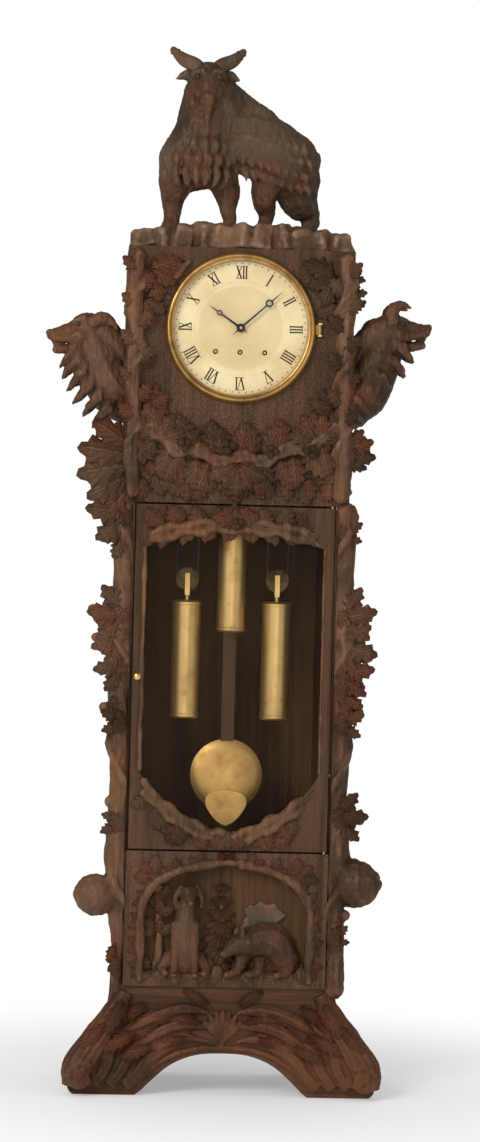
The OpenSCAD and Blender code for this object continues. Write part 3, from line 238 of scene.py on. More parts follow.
# Old clear glass: almost nothing but a faint haze and a few streaks
def glassMaterial(name, haze=0.015):
    material, wire, place, shader = newMaterial(name, Specular_IOR_Level=0.4)
    breath = noise(wire, place, 5, 4, 0.6)
    streak = noise(wire, stretched(wire, place, (1, 1, 0.15)), 30, 3, 0.6).step(0.52, 0.8)
    colour = breath.step(0.3, 0.8).blend((0.04, 0.028, 0.018, 1), (0.09, 0.07, 0.05, 1))
    alpha = haze + breath * haze + streak * haze * 0.6
    for socket, value in {"Base Color": colour, "Alpha": alpha, "Roughness": 0.04 + streak * 0.08}.items():
        wire.tree.links.new(value.socket, shader.inputs[socket])
    return material


print("materials")
walnut = carvedWalnut("carved_walnut", srgb(50, 32, 21), srgb(94, 67, 48), srgb(134, 98, 72))
paleWalnut = carvedWalnut("rubbed_walnut", srgb(62, 44, 32), srgb(118, 90, 69), srgb(160, 128, 102))
redWalnut = carvedWalnut("red_walnut", srgb(48, 27, 16), srgb(90, 55, 35), srgb(122, 78, 50))
furWalnut = carvedWalnut("fur_walnut", srgb(46, 34, 25), srgb(84, 66, 50), srgb(116, 92, 72),
                         grain=(1, 1, 0.3), gouge=150, tuft=(1, 1, 0.35), relief=0.0014)
redFur = carvedWalnut("red_fur_walnut", srgb(44, 28, 19), srgb(88, 60, 43), srgb(128, 92, 67),
                      grain=(1, 1, 0.3), gouge=150, tuft=(1, 1, 0.4), relief=0.0014)
greyRock = carvedWalnut("grey_rock", srgb(46, 38, 30), srgb(88, 77, 64), srgb(120, 106, 90), gouge=60)
boards = boardWalnut("walnut_boards", srgb(42, 26, 16), srgb(78, 53, 37), srgb(102, 72, 50))
groundBoards = boardWalnut("punched_ground", srgb(48, 32, 22), srgb(88, 62, 45), srgb(114, 82, 60),
                           punched=0.45, gloss=0.5)
redBoards = boardWalnut("red_boards", srgb(48, 28, 17), srgb(92, 60, 40), srgb(118, 80, 54),
                        grain=(0.06, 1, 1))
darkBoards = boardWalnut("dark_boards", srgb(42, 26, 14), srgb(84, 58, 34), srgb(100, 70, 42), gloss=0.6)
rodWalnut = boardWalnut("rod_walnut", srgb(42, 28, 18), srgb(76, 54, 38), srgb(94, 68, 48),
                        grain=(1, 1, 0.03))
brass = brassMaterial("aged_brass", srgb(222, 184, 112), srgb(158, 118, 66))
bobBrass = brassMaterial("bob_brass", srgb(204, 164, 98), srgb(152, 112, 60), scale=26, roughness=0.36)
bezelBrass = brassMaterial("bezel_brass", srgb(186, 146, 86), srgb(116, 82, 46), scale=34, cover=0.75)
weightBrass = brassMaterial("weight_brass", srgb(204, 170, 108), srgb(148, 114, 64), scale=20,
                            brush=(1, 1, 0.02), roughness=0.3)
# Pulley brass, darkened with painted shade for the shade the pulleys hang in under the hood
shadedBrass = brassMaterial("shaded_brass", srgb(92, 74, 48), srgb(48, 36, 24), scale=70, roughness=0.42,
                          cover=0.8)
steel = steelMaterial("blued_steel", srgb(40, 42, 50), srgb(78, 77, 78))
glass = glassMaterial("window_glass")
dialGlass = glassMaterial("dial_crystal", haze=0.012)


# Everything is deselected, and these objects are picked with the first one active
def pick(*objects):
    bpy.ops.object.select_all(action="DESELECT")
    for o in objects:
        o.select_set(True)
    bpy.context.view_layer.objects.active = objects[0]
    return objects[0]


def joined(name, parts):
    one = pick(*parts)
    if len(parts) > 1:
        bpy.ops.object.join()
    bpy.ops.object.transform_apply(location=True, rotation=True, scale=True)
    one.name = name
    one.data.name = name
    return one


def applied(obj, kind, **settings):
    pick(obj)
    modifier = obj.modifiers.new(kind.lower(), kind)
    for name, value in settings.items():
        setattr(modifier, name, value)
    bpy.ops.object.modifier_apply(modifier=modifier.name)
    return obj


def linked(name, data):
    obj = bpy.data.objects.new(name, data)
    bpy.context.scene.collection.objects.link(obj)
    return obj


# Turns the faces outwards, after points that coincide are merged
def outward(obj, merge=0.0):
    pick(obj)
    bpy.ops.object.mode_set(mode="EDIT")
    bpy.ops.mesh.select_all(action="SELECT")
    if merge:
        bpy.ops.mesh.remove_doubles(threshold=merge)
    bpy.ops.mesh.normals_make_consistent(inside=False)
    bpy.ops.object.mode_set(mode="OBJECT")
    return obj


# A rounded limb or branch along points, with a radius at each
def limb(points, radii, sides=3):
    data = bpy.data.curves.new("limb", "CURVE")
    data.dimensions = "3D"
    data.bevel_depth = 1
    data.bevel_resolution = sides
    data.resolution_u = 8
    data.use_fill_caps = True
    spline = data.splines.new("BEZIER")
    spline.bezier_points.add(len(points) - 1)
    for knot, place, radius in zip(spline.bezier_points, points, radii):
        knot.co = place
        knot.radius = radius
        knot.handle_left_type = knot.handle_right_type = "AUTO"
    pick(linked("limb", data))
    bpy.ops.object.convert(target="MESH")
    parts = [bpy.context.object]
    for place, radius in ((points[0], radii[0]), (points[-1], radii[-1])):
        bpy.ops.mesh.primitive_uv_sphere_add(segments=16, ring_count=10, radius=radius, location=place)
        parts.append(bpy.context.object)
    return joined("limb", parts)


# A swelling scroll with ribs along its length, as on a carved acanthus
def ribbed(points, radii, ribs, depth, turn=0.0, around=48, steps=9):
    knots = [Vector(p) for p in points]
    last = len(knots) - 1
    rings = []
    for i in range(last):
        a, b, c, d = (knots[j] for j in (max(i - 1, 0), i, i + 1, min(i + 2, last)))
        for s in range(steps + (i == last - 1)):
            t = s / steps
            place = 0.5 * (2 * b + (c - a) * t + (2 * a - 5 * b + 4 * c - d) * t ** 2
                           + (3 * b - a - 3 * c + d) * t ** 3)
            ease = t * t * (3 - 2 * t)
            rings.append((place, radii[i] * (1 - ease) + radii[i + 1] * ease))
    shell, faces = [], []
    for k, (place, radius) in enumerate(rings):
        tangent = rings[min(k + 1, len(rings) - 1)][0] - rings[max(k - 1, 0)][0]
        u = tangent.cross(Vector((0, 1, 0))).normalized()
        v = u.cross(tangent).normalized()
        for j in range(around):
            angle = 2 * math.pi * j / around
            r = radius * (1 - depth + depth * abs(math.cos((angle + turn) * ribs / 2)) ** 0.7)
            shell.append(place + u * (r * math.cos(angle)) + v * (r * math.sin(angle)))
    for k in range(len(rings) - 1):
        for j in range(around):
            n = (j + 1) % around
            faces.append((k * around + j, (k + 1) * around + j, (k + 1) * around + n, k * around + n))
    faces.append(tuple(range(around)))
    faces.append(tuple(reversed(range((len(rings) - 1) * around, len(rings) * around))))
    mesh = bpy.data.meshes.new("ribbed")
    mesh.from_pydata(shell, [], faces)
    return outward(linked("ribbed", mesh))


def ball(place, size, turn=(0, 0, 0)):
    bpy.ops.mesh.primitive_uv_sphere_add(segments=20, ring_count=12, radius=1, location=place,
                                         rotation=turn, scale=size)
    return joined("ball", [bpy.context.object])


# A stone: a cube with one side drawn in and its edges broken
def stone(place, size, turn):
    bpy.ops.mesh.primitive_cube_add(size=1)
    obj = bpy.context.object
    for v in obj.data.vertices:
        if v.co.z > 0:
            v.co.x *= 0.72
            v.co.y *= 0.8
    obj.location, obj.rotation_euler, obj.scale = place, turn, size
    one = joined("stone", [obj])
    return applied(one, "BEVEL", width=min(size) * 0.16, segments=2)


# Joined shapes become one skin, which is smoothed and cut with gouge marks
def carvedSkin(name, shapes, voxel=0.004, smooth=4, marks=()):
    obj = joined(name, shapes)
    applied(obj, "REMESH", mode="VOXEL", voxel_size=voxel if fine else voxel * 1.8, use_smooth_shade=True)
    applied(obj, "SMOOTH", factor=0.6, iterations=smooth)
    for kind, size, depth, stretch in marks:
        texture = bpy.data.textures.new(name + "_marks", kind)
        texture.noise_scale = size
        if kind == "CLOUDS":
            texture.noise_depth = 3
        guide = linked("guide", None)
        guide.scale = stretch
        bpy.context.view_layer.update()
        applied(obj, "DISPLACE", texture=texture, strength=depth, mid_level=0.5, texture_coords="OBJECT",
                texture_coords_object=guide)
        bpy.data.objects.remove(guide)
    return obj


def perVertex(mesh, name):
    values = np.empty(len(mesh.vertices) * 3)
    mesh.vertices.foreach_get(name, values)
    return values.reshape(-1, 3)


def setAttribute(mesh, name, values):
    attribute = mesh.attributes.get(name) or mesh.attributes.new(name, "FLOAT", "POINT")
    attribute.data.foreach_set("value", values)


# The wear-and-shade attribute: 1 on ridges that hands and cloths rub, 0 in hollows, which it darkens with
# painted shade
def addWearAndShade(obj, reach=3, gain=480):
    mesh = obj.data
    count = len(mesh.vertices)
    place = perVertex(mesh, "co")
    normal = perVertex(mesh, "normal")
    edges = np.empty(len(mesh.edges) * 2, dtype=int)
    mesh.edges.foreach_get("vertices", edges)
    a, b = edges.reshape(-1, 2).T
    near = np.maximum(np.bincount(a, minlength=count) + np.bincount(b, minlength=count), 1)

    def spread(values):
        total = np.zeros_like(values)
        np.add.at(total, a, values[b])
        np.add.at(total, b, values[a])
        return total / near.reshape((-1,) + (1,) * (values.ndim - 1))

    soft = place.copy()
    for _ in range(reach):
        soft = 0.5 * soft + 0.5 * spread(soft)
    wide = soft.copy()
    for _ in range(reach * 5):
        wide = 0.5 * wide + 0.5 * spread(wide)
    ridge = np.einsum("ij,ij->i", place - soft, normal)
    swell = np.einsum("ij,ij->i", soft - wide, normal)
    wear_and_shade = 1 / (1 + np.exp(-(ridge * gain * 2 + swell * gain * 0.6)))
    wear_and_shade = 0.5 * wear_and_shade + 0.5 * spread(wear_and_shade)
    setAttribute(mesh, "wear_and_shade", wear_and_shade.astype(np.float32))


def painted(obj, material):
    obj.data.materials.clear()
    obj.data.materials.append(material)


def smoothed(obj):
    pick(obj)
    bpy.ops.object.shade_smooth_by_angle(angle=math.radians(50))


# A finished piece: its material, the body it rides, its slot (not used) and the node it stands for
def dressed(obj, material, body, slot, *stands):
    painted(obj, material)
    smoothed(obj)
    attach(obj, body)
    if stands:
        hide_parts(*stands)
    return obj


# A carved skin and its leaves as one piece
def foliage(name, skin, leaves, material, *place):
    addWearAndShade(skin)
    dressed(joined(name, [skin, joined("leaves", leaves)]), material, *place)


# A carved leaf with a rib and swept lobes, its stalk at the origin and its tip at +X.
# A station is its place along the leaf, its half width there and how far its edge sweeps on.
vineLeaf = [(0, 0.03, 0), (0.08, 0.17, -0.03), (0.2, 0.37, 0.03), (0.3, 0.25, 0.0), (0.44, 0.4, 0.08),
            (0.55, 0.23, 0.02), (0.69, 0.29, 0.08), (0.8, 0.15, 0.02), (0.91, 0.11, 0.04), (1, 0, 0)]
acanthus = [(0, 0.06, 0), (0.1, 0.15, 0.05), (0.17, 0.1, 0.0), (0.27, 0.19, 0.08), (0.35, 0.12, 0.01),
            (0.46, 0.21, 0.09), (0.55, 0.13, 0.01), (0.66, 0.18, 0.09), (0.75, 0.1, 0.01),
            (0.88, 0.1, 0.07), (1, 0, 0)]


def leafMesh(name, stations, rib, droop, thick):
    points, faces, marks = [], [], []
    for i, (u, half, sweep) in enumerate(stations):
        fall = -droop * u * u + 0.12 * u
        peak = 1 if i % 2 == 0 else -1
        for w in (-1, -0.5, 0, 0.5, 1):
            lift = -0.05 + 0.045 * peak
            # Wear and painted shade: low on the blade near the stalk, where it paints shade, higher on the
            # rib and towards the tip, which are rubbed lighter
            wear_and_shade = 0.24 + 0.4 * u
            if w == 0:
                lift = rib * (1 - 0.6 * u)
                wear_and_shade = 0.4 + 0.3 * u
            elif abs(w) < 1:
                lift = 0.01 + 0.025 * peak
                wear_and_shade -= 0.1
            points.append((u + sweep * abs(w), half * w, fall + lift))
            marks.append((u + 0.05, w, wear_and_shade))
    for i in range(len(stations) - 1):
        for k in range(4):
            a = 5 * i + k
            faces.append((a, a + 5, a + 6, a + 1))
    mesh = bpy.data.meshes.new(name)
    mesh.from_pydata(points, [], faces)
    for k, attribute in enumerate(("leaf_along", "leaf_across", "wear_and_shade")):
        setAttribute(mesh, attribute, [mark[k] for mark in marks])
    obj = outward(linked(name, mesh), merge=0.001)
    if mesh.polygons[0].normal.z < 0:
        mesh.flip_normals()
    return applied(obj, "SOLIDIFY", thickness=thick, offset=-1)


leafPattern = leafMesh("leaf", vineLeaf, 0.09, 0.26, 0.08)
longLeaf = leafMesh("long_leaf", acanthus, 0.06, 0.3, 0.06)


# One leaf of its own mesh at a place, tip towards "along", face towards "face"
def leafAt(place, along, face, size, pattern=None):
    mesh = (pattern or leafPattern).data.copy()
    x = Vector(along).normalized()
    z = Vector(face)
    z = (z - x * z.dot(x)).normalized()
    y = z.cross(x)
    turn = Matrix((x, y, z)).transposed().to_4x4()
    mesh.transform(Matrix.Translation(Vector(place)) @ turn @ Matrix.Diagonal((size, size, size, 1)))
    toneAndShade = max(0, random.uniform(-0.4, 0.9))
    # On the hood the leaves at the left are redder, and those at the right are darkened with painted shade
    if place[2] > zHood + 0.13:
        toneAndShade += 0.25 if place[0] < -0.05 else -0.9 * (place[0] > 0.1)
    setAttribute(mesh, "tone_and_shade", [toneAndShade] * len(mesh.vertices))
    return linked("leaf", mesh)


# The direction at an angle up from the side, leaning towards the viewer
def heading(turn, lean=0.0, side=1):
    a = math.radians(turn)
    return (side * math.cos(a), lean, math.sin(a))


# Moves a leaf just far enough that it stays inside a limit
def keptIn(leaf, axis, low=-math.inf, high=math.inf):
    reach = [v.co[axis] for v in leaf.data.vertices]
    shift = Vector((0, 0, 0))
    shift[axis] = max(0, low - min(reach)) or min(0, high - max(reach))
    leaf.data.transform(Matrix.Translation(shift))
    return leaf


# Takes away what is inside a box
def planed(obj, low, high):
    bpy.ops.mesh.primitive_cube_add(size=1, location=(Vector(low) + Vector(high)) / 2,
                                    scale=Vector(high) - Vector(low))
    box = joined("planed", [bpy.context.object])
    applied(obj, "BOOLEAN", operation="DIFFERENCE", object=box, solver="EXACT")
    bpy.data.objects.remove(box)
    return obj


# A sprig of leaves that fan out from one place on the front
def sprig(place, turns, size, lean=-0.25, pattern=None):
    leaves = []
    for k, turn in enumerate(turns):
        along = heading(turn, lean - 0.04 * (k % 2))
        face = (0.25 * along[0], -1, 0.25 * along[2] + 0.1)
        leaves.append(leafAt(place, along, face, size * (1 - 0.1 * (k % 2)), pattern))
    return leaves


def berries(place, size):
    bunch = []
    for k in range(3):
        a = 2.1 * k + place[0] * 90
        spot = Vector(place) + Vector((size * math.cos(a), -size * 0.5, size * math.sin(a)))
        bunch.append(ball(spot, (size,) * 3))
    return bunch


# Places read from the frame
def edge(node, side, axis):
    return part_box(node)[1 if side == "high" else 0][axis]


caseX = edge("case_sides", "high", 0)
hoodX = edge("hood_front", "high", 0)
yFront = edge("case_sides", "low", 1)
yHood = edge("hood_front", "low", 1)
yDoor = edge("trunk_door", "low", 1)
zPedestal = edge("case_sides", "low", 2)
zHood = edge("hood_front", "low", 2)
zTop = edge("hood_boards", "high", 2)
zTrunk = edge("trunk_floor", "low", 2)
dialLow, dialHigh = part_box("dial_plate")
zDial = (dialLow.z + dialHigh.z) / 2
dialR = (dialHigh.x - dialLow.x) / 2
bezelLow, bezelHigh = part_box("bezel")
bezelR = (bezelHigh.z - bezelLow.z) / 2
footX = edge("front_foot_right", "high", 0)
clockTop = edge("ibex", "high", 2)
headX = edge("hound_head_right", "high", 0)

# Gouge cuts for each kind of carving: texture, size, depth and stretch
barkMarks = [("CLOUDS", 0.012, 0.006, (1, 1, 5)), ("VORONOI", 0.02, 0.003, (1, 1, 1.8))]
furMarks = [("CLOUDS", 0.009, 0.0045, (1, 1, 2.6)), ("CLOUDS", 0.0045, 0.002, (1, 1, 2.2))]
gougeMarks = [("CLOUDS", 0.012, 0.0022, (1, 1, 1.6))]
rockMarks = [("VORONOI", 0.03, 0.005, (1.3, 1.3, 1)), ("CLOUDS", 0.012, 0.003, (1, 1, 1))]

print("ibex")
ibex = {"stand": 1.786, "y": -0.0618, "head": -0.079}


def ibexShapes(stand, y, head):
    def at(x, dy, dz):
        return (x, y + dy, stand + dz)

    shapes = [
        limb([at(-0.088, -0.008, 0.19), at(-0.03, 0.002, 0.206), at(0.032, 0.012, 0.196),
              at(0.094, 0.026, 0.162)], [0.066, 0.068, 0.071, 0.069]),
        limb([at(-0.11, -0.01, 0.166), at(-0.074, -0.009, 0.23), at(-0.062, -0.014, 0.278),
              at(-0.077, -0.02, 0.316)], [0.063, 0.068, 0.06, 0.04]),
        limb([at(-0.05, 0.0, 0.262), at(-0.01, 0.006, 0.238), at(0.04, 0.012, 0.214)], [0.05, 0.044, 0.05]),
        limb([at(-0.086, -0.006, 0.296), at(-0.094, -0.004, 0.25), at(-0.1, -0.004, 0.21)],
             [0.044, 0.046, 0.05]),
        limb([at(-0.048, -0.002, 0.304), at(-0.014, 0.006, 0.268), at(0.03, 0.014, 0.23)],
             [0.034, 0.042, 0.05]),
        limb([at(-0.078, -0.026, 0.33), at(head, -0.06, 0.31), at(-0.08, -0.082, 0.276)],
             [0.034, 0.0235, 0.0155]),
        limb([at(-0.08, -0.082, 0.262), at(-0.082, -0.078, 0.222)], [0.011, 0.003]),
        ball(at(head, -0.044, 0.343), (0.026, 0.018, 0.012)),
        ball(at(-0.08, -0.093, 0.282), (0.011, 0.006, 0.007)),
        limb([at(0.144, 0.034, 0.186), at(0.156, 0.038, 0.178), at(0.16, 0.04, 0.156)], [0.01, 0.01, 0.004]),
    ]
    legs = [
        ([(-0.128, -0.012, 0.16), (-0.142, -0.02, 0.104), (-0.146, -0.012, 0.068),
          (-0.147, -0.016, 0.034), (-0.152, -0.024, 0.01)], [0.05, 0.036, 0.022, 0.017, 0.021]),
        ([(-0.056, 0.004, 0.15), (-0.034, 0.0, 0.098), (-0.03, -0.004, 0.06), (-0.025, -0.004, 0.03),
          (-0.028, -0.012, 0.01)], [0.042, 0.03, 0.018, 0.014, 0.018]),
        ([(0.062, 0.02, 0.136), (0.047, 0.018, 0.088), (0.053, 0.03, 0.05), (0.046, 0.022, 0.028),
          (0.042, 0.012, 0.008)], [0.046, 0.028, 0.017, 0.014, 0.018]),
        ([(0.11, 0.038, 0.13), (0.124, 0.046, 0.086), (0.147, 0.058, 0.05), (0.142, 0.048, 0.02),
          (0.14, 0.036, 0.0)], [0.056, 0.042, 0.021, 0.016, 0.02])]
    for points, radii in legs:
        shapes.append(limb([at(*p) for p in points], radii))
    # Cloven hooves
    hooves = ((-0.153, -0.028, 0.006), (-0.029, -0.016, 0.006), (0.041, 0.008, 0.004), (0.14, 0.032, -0.004))
    for x, dy, dz in hooves:
        for half in (-1, 1):
            shapes.append(ball(at(x + 0.0065 * half, dy - 0.004, dz), (0.0085, 0.016, 0.011)))
    for side in (-1, 1):
        ear = [at(head + dx * side, dy, dz)
               for dx, dy, dz in ((0.026, -0.016, 0.334), (0.046, -0.02, 0.335), (0.066, -0.022, 0.326))]
        shapes.append(limb(ear, [0.01, 0.0125, 0.003]))
        brow = [at(head + dx * side, dy, dz)
                for dx, dy, dz in ((0.013, -0.068, 0.338), (0.027, -0.05, 0.337), (0.034, -0.036, 0.326))]
        shapes.append(limb(brow, [0.006, 0.008, 0.005]))
        cheek = [at(head + 0.026 * side, -0.05, 0.312), at(head + 0.018 * side, -0.072, 0.29)]
        shapes.append(limb(cheek, [0.011, 0.008]))
    # Locks of the mane and the chest, and the fleece along the flank
    for row in range(6):
        for k in range(-2 - (row > 3), 3 + (row > 2)):
            x = -0.066 + 0.018 * k - 0.008 * row + 0.006 * (row % 2)
            z = 0.296 - 0.03 * row
            dy = -0.058 - 0.005 * row + 0.0042 * k * k
            lock = [at(x, dy + 0.006, z), at(x + 0.003 * k, dy, z - 0.02),
                    at(x + 0.001 * k, dy + 0.002, z - 0.038), at(x - 0.002 * k, dy + 0.008, z - 0.05)]
            shapes.append(limb(lock, [0.008, 0.0105, 0.0075, 0.002]))
    for row in range(4):
        for k in range(9):
            x = -0.03 + 0.019 * k + 0.008 * (row % 2)
            z = 0.232 - 0.026 * row - 0.0045 * k
            height = abs(0.19 - 0.3 * x - z + 0.02) / 0.075
            dy = 0.012 + 0.14 * (x + 0.03) - 0.068 * math.sin(math.acos(min(0.98, height)))
            tuft = [at(x, dy + 0.004, z), at(x + 0.006, dy, z - 0.014), at(x + 0.01, dy + 0.004, z - 0.03)]
            shapes.append(limb(tuft, [0.006, 0.0075, 0.002]))
    # The raised root that the beast stands over
    shapes.append(limb([at(-0.124, 0.006, 0.104), at(-0.07, 0.014, 0.112), at(-0.026, 0.004, 0.098)],
                       [0.014, 0.01, 0.011]))
    return shapes


# Its face, chest and legs are stained redder than its flank
def addStain(obj, stand):
    place = perVertex(obj.data, "co")
    x, z = place[:, 0], place[:, 2] - stand
    legs = np.clip((0.17 - z) / 0.08, 0, 1) * np.clip((0.12 - x) / 0.06, 0, 1)
    face = np.clip(1 - np.hypot(x + 0.08, z - 0.3) / 0.055, 0, 1)
    chest = np.clip(1 - np.hypot(x + 0.1, z - 0.13) / 0.08, 0, 1)
    toneAndShade = np.clip(np.maximum(np.maximum(legs * 0.6, face * 0.98), chest) * 0.7, 0, 0.6)
    setAttribute(obj.data, "tone_and_shade", toneAndShade.astype(np.float32))


beast = carvedSkin("ibex_body", ibexShapes(**ibex), voxel=0.0032, smooth=3, marks=furMarks)
horns = []
for side in (-1, 1):
    base = Vector((ibex["head"] + 0.012 * side, ibex["y"] - 0.02, ibex["stand"] + 0.34))
    path = [base, base + Vector((0.016 * side, 0.004, 0.016)), base + Vector((0.04 * side, 0.012, 0.03)),
            base + Vector((0.061 * side, 0.022, clockTop - base.z - 0.008))]
    horns.append(limb(path, [0.019, 0.0175, 0.0145, 0.0075]))
    for k in range(9):
        t = k / 8.5 * 3
        i = min(int(t), 2)
        centre = path[i].lerp(path[i + 1], t - i)
        horns.append(ball(centre, (0.0205 - 0.0031 * t,) * 2 + (0.0034,), (0, side * (0.75 - 0.1 * t), 0)))
horn = carvedSkin("ibex_horns", horns, voxel=0.0016, smooth=2)
eyes = [ball((ibex["head"] + 0.022 * s, ibex["y"] - 0.062, ibex["stand"] + 0.3265), (0.0058,) * 3)
        for s in (-1, 1)]
for piece in (beast, horn):
    addWearAndShade(piece)
addStain(beast, ibex["stand"])
hornMaterial = carvedWalnut("horn", srgb(70, 53, 40), srgb(112, 90, 70), srgb(152, 128, 102), gouge=200)
dressed(beast, furWalnut, "case", "walnut", "ibex")
dressed(horn, hornMaterial, "case", "walnut")
dressed(joined("ibex_eyes", eyes), steel, "case", "steel")

print("ledge")
ledge = {"rows": 4, "knots": 11}


def ledgeShapes(rows, knots):
    low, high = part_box("rocky_ledge")
    shapes = []
    for row in range(rows):
        y = low.y + 0.03 + (high.y - low.y - 0.062) * row / (rows - 1)
        for k in range(knots):
            x = low.x + 0.03 + (high.x - low.x - 0.06) * k / (knots - 1)
            u = x / hoodX
            share = 0.93 + 0.14 * ((k * 5 + row * 3) % 4) / 3
            rise = (high.z - zTop) * (1 - 0.4 * abs(u - 0.04) ** 2.4) * share
            turn = (0.16 * (k % 3 - 1), 0.2 * (row % 3 - 1), k * 0.8 + row)
            shapes.append(stone((x, y, zTop + rise * 0.45), (0.052, 0.046, rise * 1.06), turn))
    for side in (-1, 1):
        x = side * (hoodX - 0.019)
        shapes.append(limb([(x, low.y + 0.02, zTop - 0.002), (x, low.y + 0.02, zTop + 0.008),
                            (x, low.y + 0.02, zTop + 0.016)], [0.019, 0.017, 0.014]))
    return shapes


rock = carvedSkin("ledge_rock", ledgeShapes(**ledge), voxel=0.0036, smooth=1, marks=rockMarks)
addWearAndShade(rock)
dressed(rock, paleWalnut, "case", "walnut", "rocky_ledge")

print("hounds")
hound = {"muzzle": zHood + 0.353, "y": yFront + 0.026}
# The ear and the ruff are places measured from the muzzle
leftHead = {"tilt": -0.02, "ear": [(-0.098, 0.024), (-0.116, 0.03), (-0.134, 0.022), (-0.146, 0.006)],
            "ruff": [(-0.03, -0.062), (-0.036, -0.086), (-0.046, -0.112), (-0.058, -0.14), (-0.08, -0.168),
                     (-0.1, -0.194)]}
rightHead = {"tilt": 0.014, "ear": [(-0.088, 0.03), (-0.088, 0.05), (-0.07, 0.061), (-0.05, 0.054)],
             "ruff": [(-0.038, -0.06), (-0.056, -0.088), (-0.082, -0.116), (-0.107, -0.142),
                      (-0.128, -0.166), (-0.142, -0.184)]}


def houndShapes(side, muzzle, y, tilt, ear, ruff):
    def at(dx, dy, dz):
        return (side * (headX + dx), y + dy, muzzle + dz + tilt * (dx + 0.168) / 0.168)

    shapes = [
        limb([at(-0.168, 0.004, -0.14), at(-0.146, 0.0, -0.116), at(-0.116, -0.002, -0.062),
              at(-0.094, -0.006, 0.0)], [0.05, 0.058, 0.05, 0.037]),
        limb([at(-0.168, 0.004, -0.09), at(-0.15, 0.0, -0.04), at(-0.116, -0.004, 0.004)],
             [0.03, 0.035, 0.036]),
        ball(at(-0.088, -0.01, 0.015), (0.039, 0.034, 0.032)),
        limb([at(-0.08, -0.012, 0.016), at(-0.052, -0.014, 0.01), at(-0.016, -0.016, 0.006)],
             [0.028, 0.0205, 0.0135]),
        limb([at(-0.08, -0.01, -0.016), at(-0.05, -0.014, -0.025), at(-0.022, -0.016, -0.024)],
             [0.018, 0.0115, 0.0085]),
        ball(at(-0.0098, -0.016, 0.012), (0.0088, 0.0105, 0.0082)),
        limb([at(-0.03, -0.016, -0.013), at(-0.018, -0.016, -0.012)], [0.0055, 0.0045])]
    for half in (-1, 1):
        flap = [at(dx, -0.008 + 0.034 * half, dz) for dx, dz in ear]
        shapes.append(limb(flap, [0.013, 0.015, 0.01, 0.003]))
        brow = [at(-0.078, -0.012 + 0.024 * half, 0.034), at(-0.058, -0.012 + 0.02 * half, 0.029)]
        shapes.append(limb(brow, [0.009, 0.006]))
        cheek = [at(-0.072, -0.012 + 0.022 * half, 0.0), at(-0.046, -0.014 + 0.016 * half, -0.004),
                 at(-0.022, -0.016 + 0.01 * half, 0.0)]
        shapes.append(limb(cheek, [0.014, 0.009, 0.007]))
    # The ruff: curling locks in three layers down the cheek, the throat and the neck
    for half in (-1, 0, 1):
        for layer in range(3 if half else 1):
            for k, (dx, dz) in enumerate(ruff):
                shrink = 1 - 0.24 * layer
                rootX = dx - 0.044 * shrink
                rootZ = dz + 0.058 * shrink
                tipX = rootX + (dx - rootX) * shrink - 0.014 * layer
                tipZ = rootZ + (dz - rootZ) * shrink + 0.01 * layer
                wide = half * (0.046 - 0.003 * (5 - k))
                bow = 0.003 * math.sin(1.7 * k + 2.1 * layer)
                lock = [at(rootX, wide * 0.9, rootZ - tilt * 0.3),
                        at(rootX * 0.7 + tipX * 0.3 + bow, wide * 1.08 - 0.004, rootZ * 0.6 + tipZ * 0.4),
                        at(rootX * 0.3 + tipX * 0.7 + bow, wide * 0.9 - 0.004, rootZ * 0.25 + tipZ * 0.75),
                        at(tipX, wide * 0.6 - 0.004, tipZ)]
                shapes.append(limb(lock, [0.0075, 0.0115, 0.0085, 0.002]))
    return shapes


for side, name, form in ((-1, "left", leftHead), (1, "right", rightHead)):
    shapes = houndShapes(side, **hound, **form)
    head = carvedSkin("hound_" + name, shapes, voxel=0.0028, smooth=2, marks=furMarks)
    addWearAndShade(head)
    dressed(head, redFur, "case", "walnut", "hound_head_" + name)
    lift = form["tilt"] * 0.6
    eyes = [ball((side * (headX - 0.066), hound["y"] - 0.012 + 0.0275 * s, hound["muzzle"] + 0.0235 + lift),
                 (0.0044, 0.0036, 0.0044)) for s in (-1, 1)]
    dressed(joined("hound_eyes_" + name, eyes), steel, "case", "steel")

print("columns")
# A plane beside the door: how far it stands from the case's side, and from its front
column = {"radius": 0.0215, "y": yFront - 0.008, "burlReach": 0.06, "clear": 0.0032,
          "planes": [(0.0028, -0.009), (-0.001, 0.0005)]}
# A knot is a height and a reach. A spray is a height, an angle and a size.
leftColumn = {"burlZ": 0.414, "burl": 0.044, "foot": 0.5,
              "knots": [(1.004, 0.058), (0.946, 0.05), (0.802, 0.03), (0.607, 0.014), (0.88, 0.03)],
              "sprays": [(1.205, 8, 1.35), (1.165, -18, 0.85), (0.995, 6, 1.2), (0.95, -20, 1.1),
                         (0.89, -8, 0.95), (0.78, 25, 0.7), (0.56, -25, 0.6), (0.29, 70, 0.3)]}
rightColumn = {"burlZ": 0.446, "burl": 0.05, "foot": 0.95,
               "knots": [(0.99, 0.04), (0.918, 0.05), (0.802, 0.034), (0.581, 0.042), (0.86, 0.03),
                         (0.488, 0.034), (0.38, 0.016)],
               "sprays": [(1.18, 30, 0.6), (1.0, 14, 1.15), (0.94, -12, 1.2), (0.885, 10, 1.1),
                          (0.84, -30, 0.82), (0.785, 20, 0.8), (0.585, 5, 1.0), (0.34, 45, 0.5)]}
# A station of the trunk: its share of the height, its shift outwards and back in mm, its share of the radius
sway = [(0.01, 2, 0, 1.12), (0.07, 3, -3, 1.0), (0.17, -2, 2, 1), (0.29, 2, -4, 1.12),
        (0.38, 0, 0, 0.92), (0.5, 1, -3, 0.98), (0.62, 4, 2, 1.12), (0.73, 2, -4, 1.14),
        (0.85, 2, 0, 0.96), (0.985, 2, -2, 1.15)]


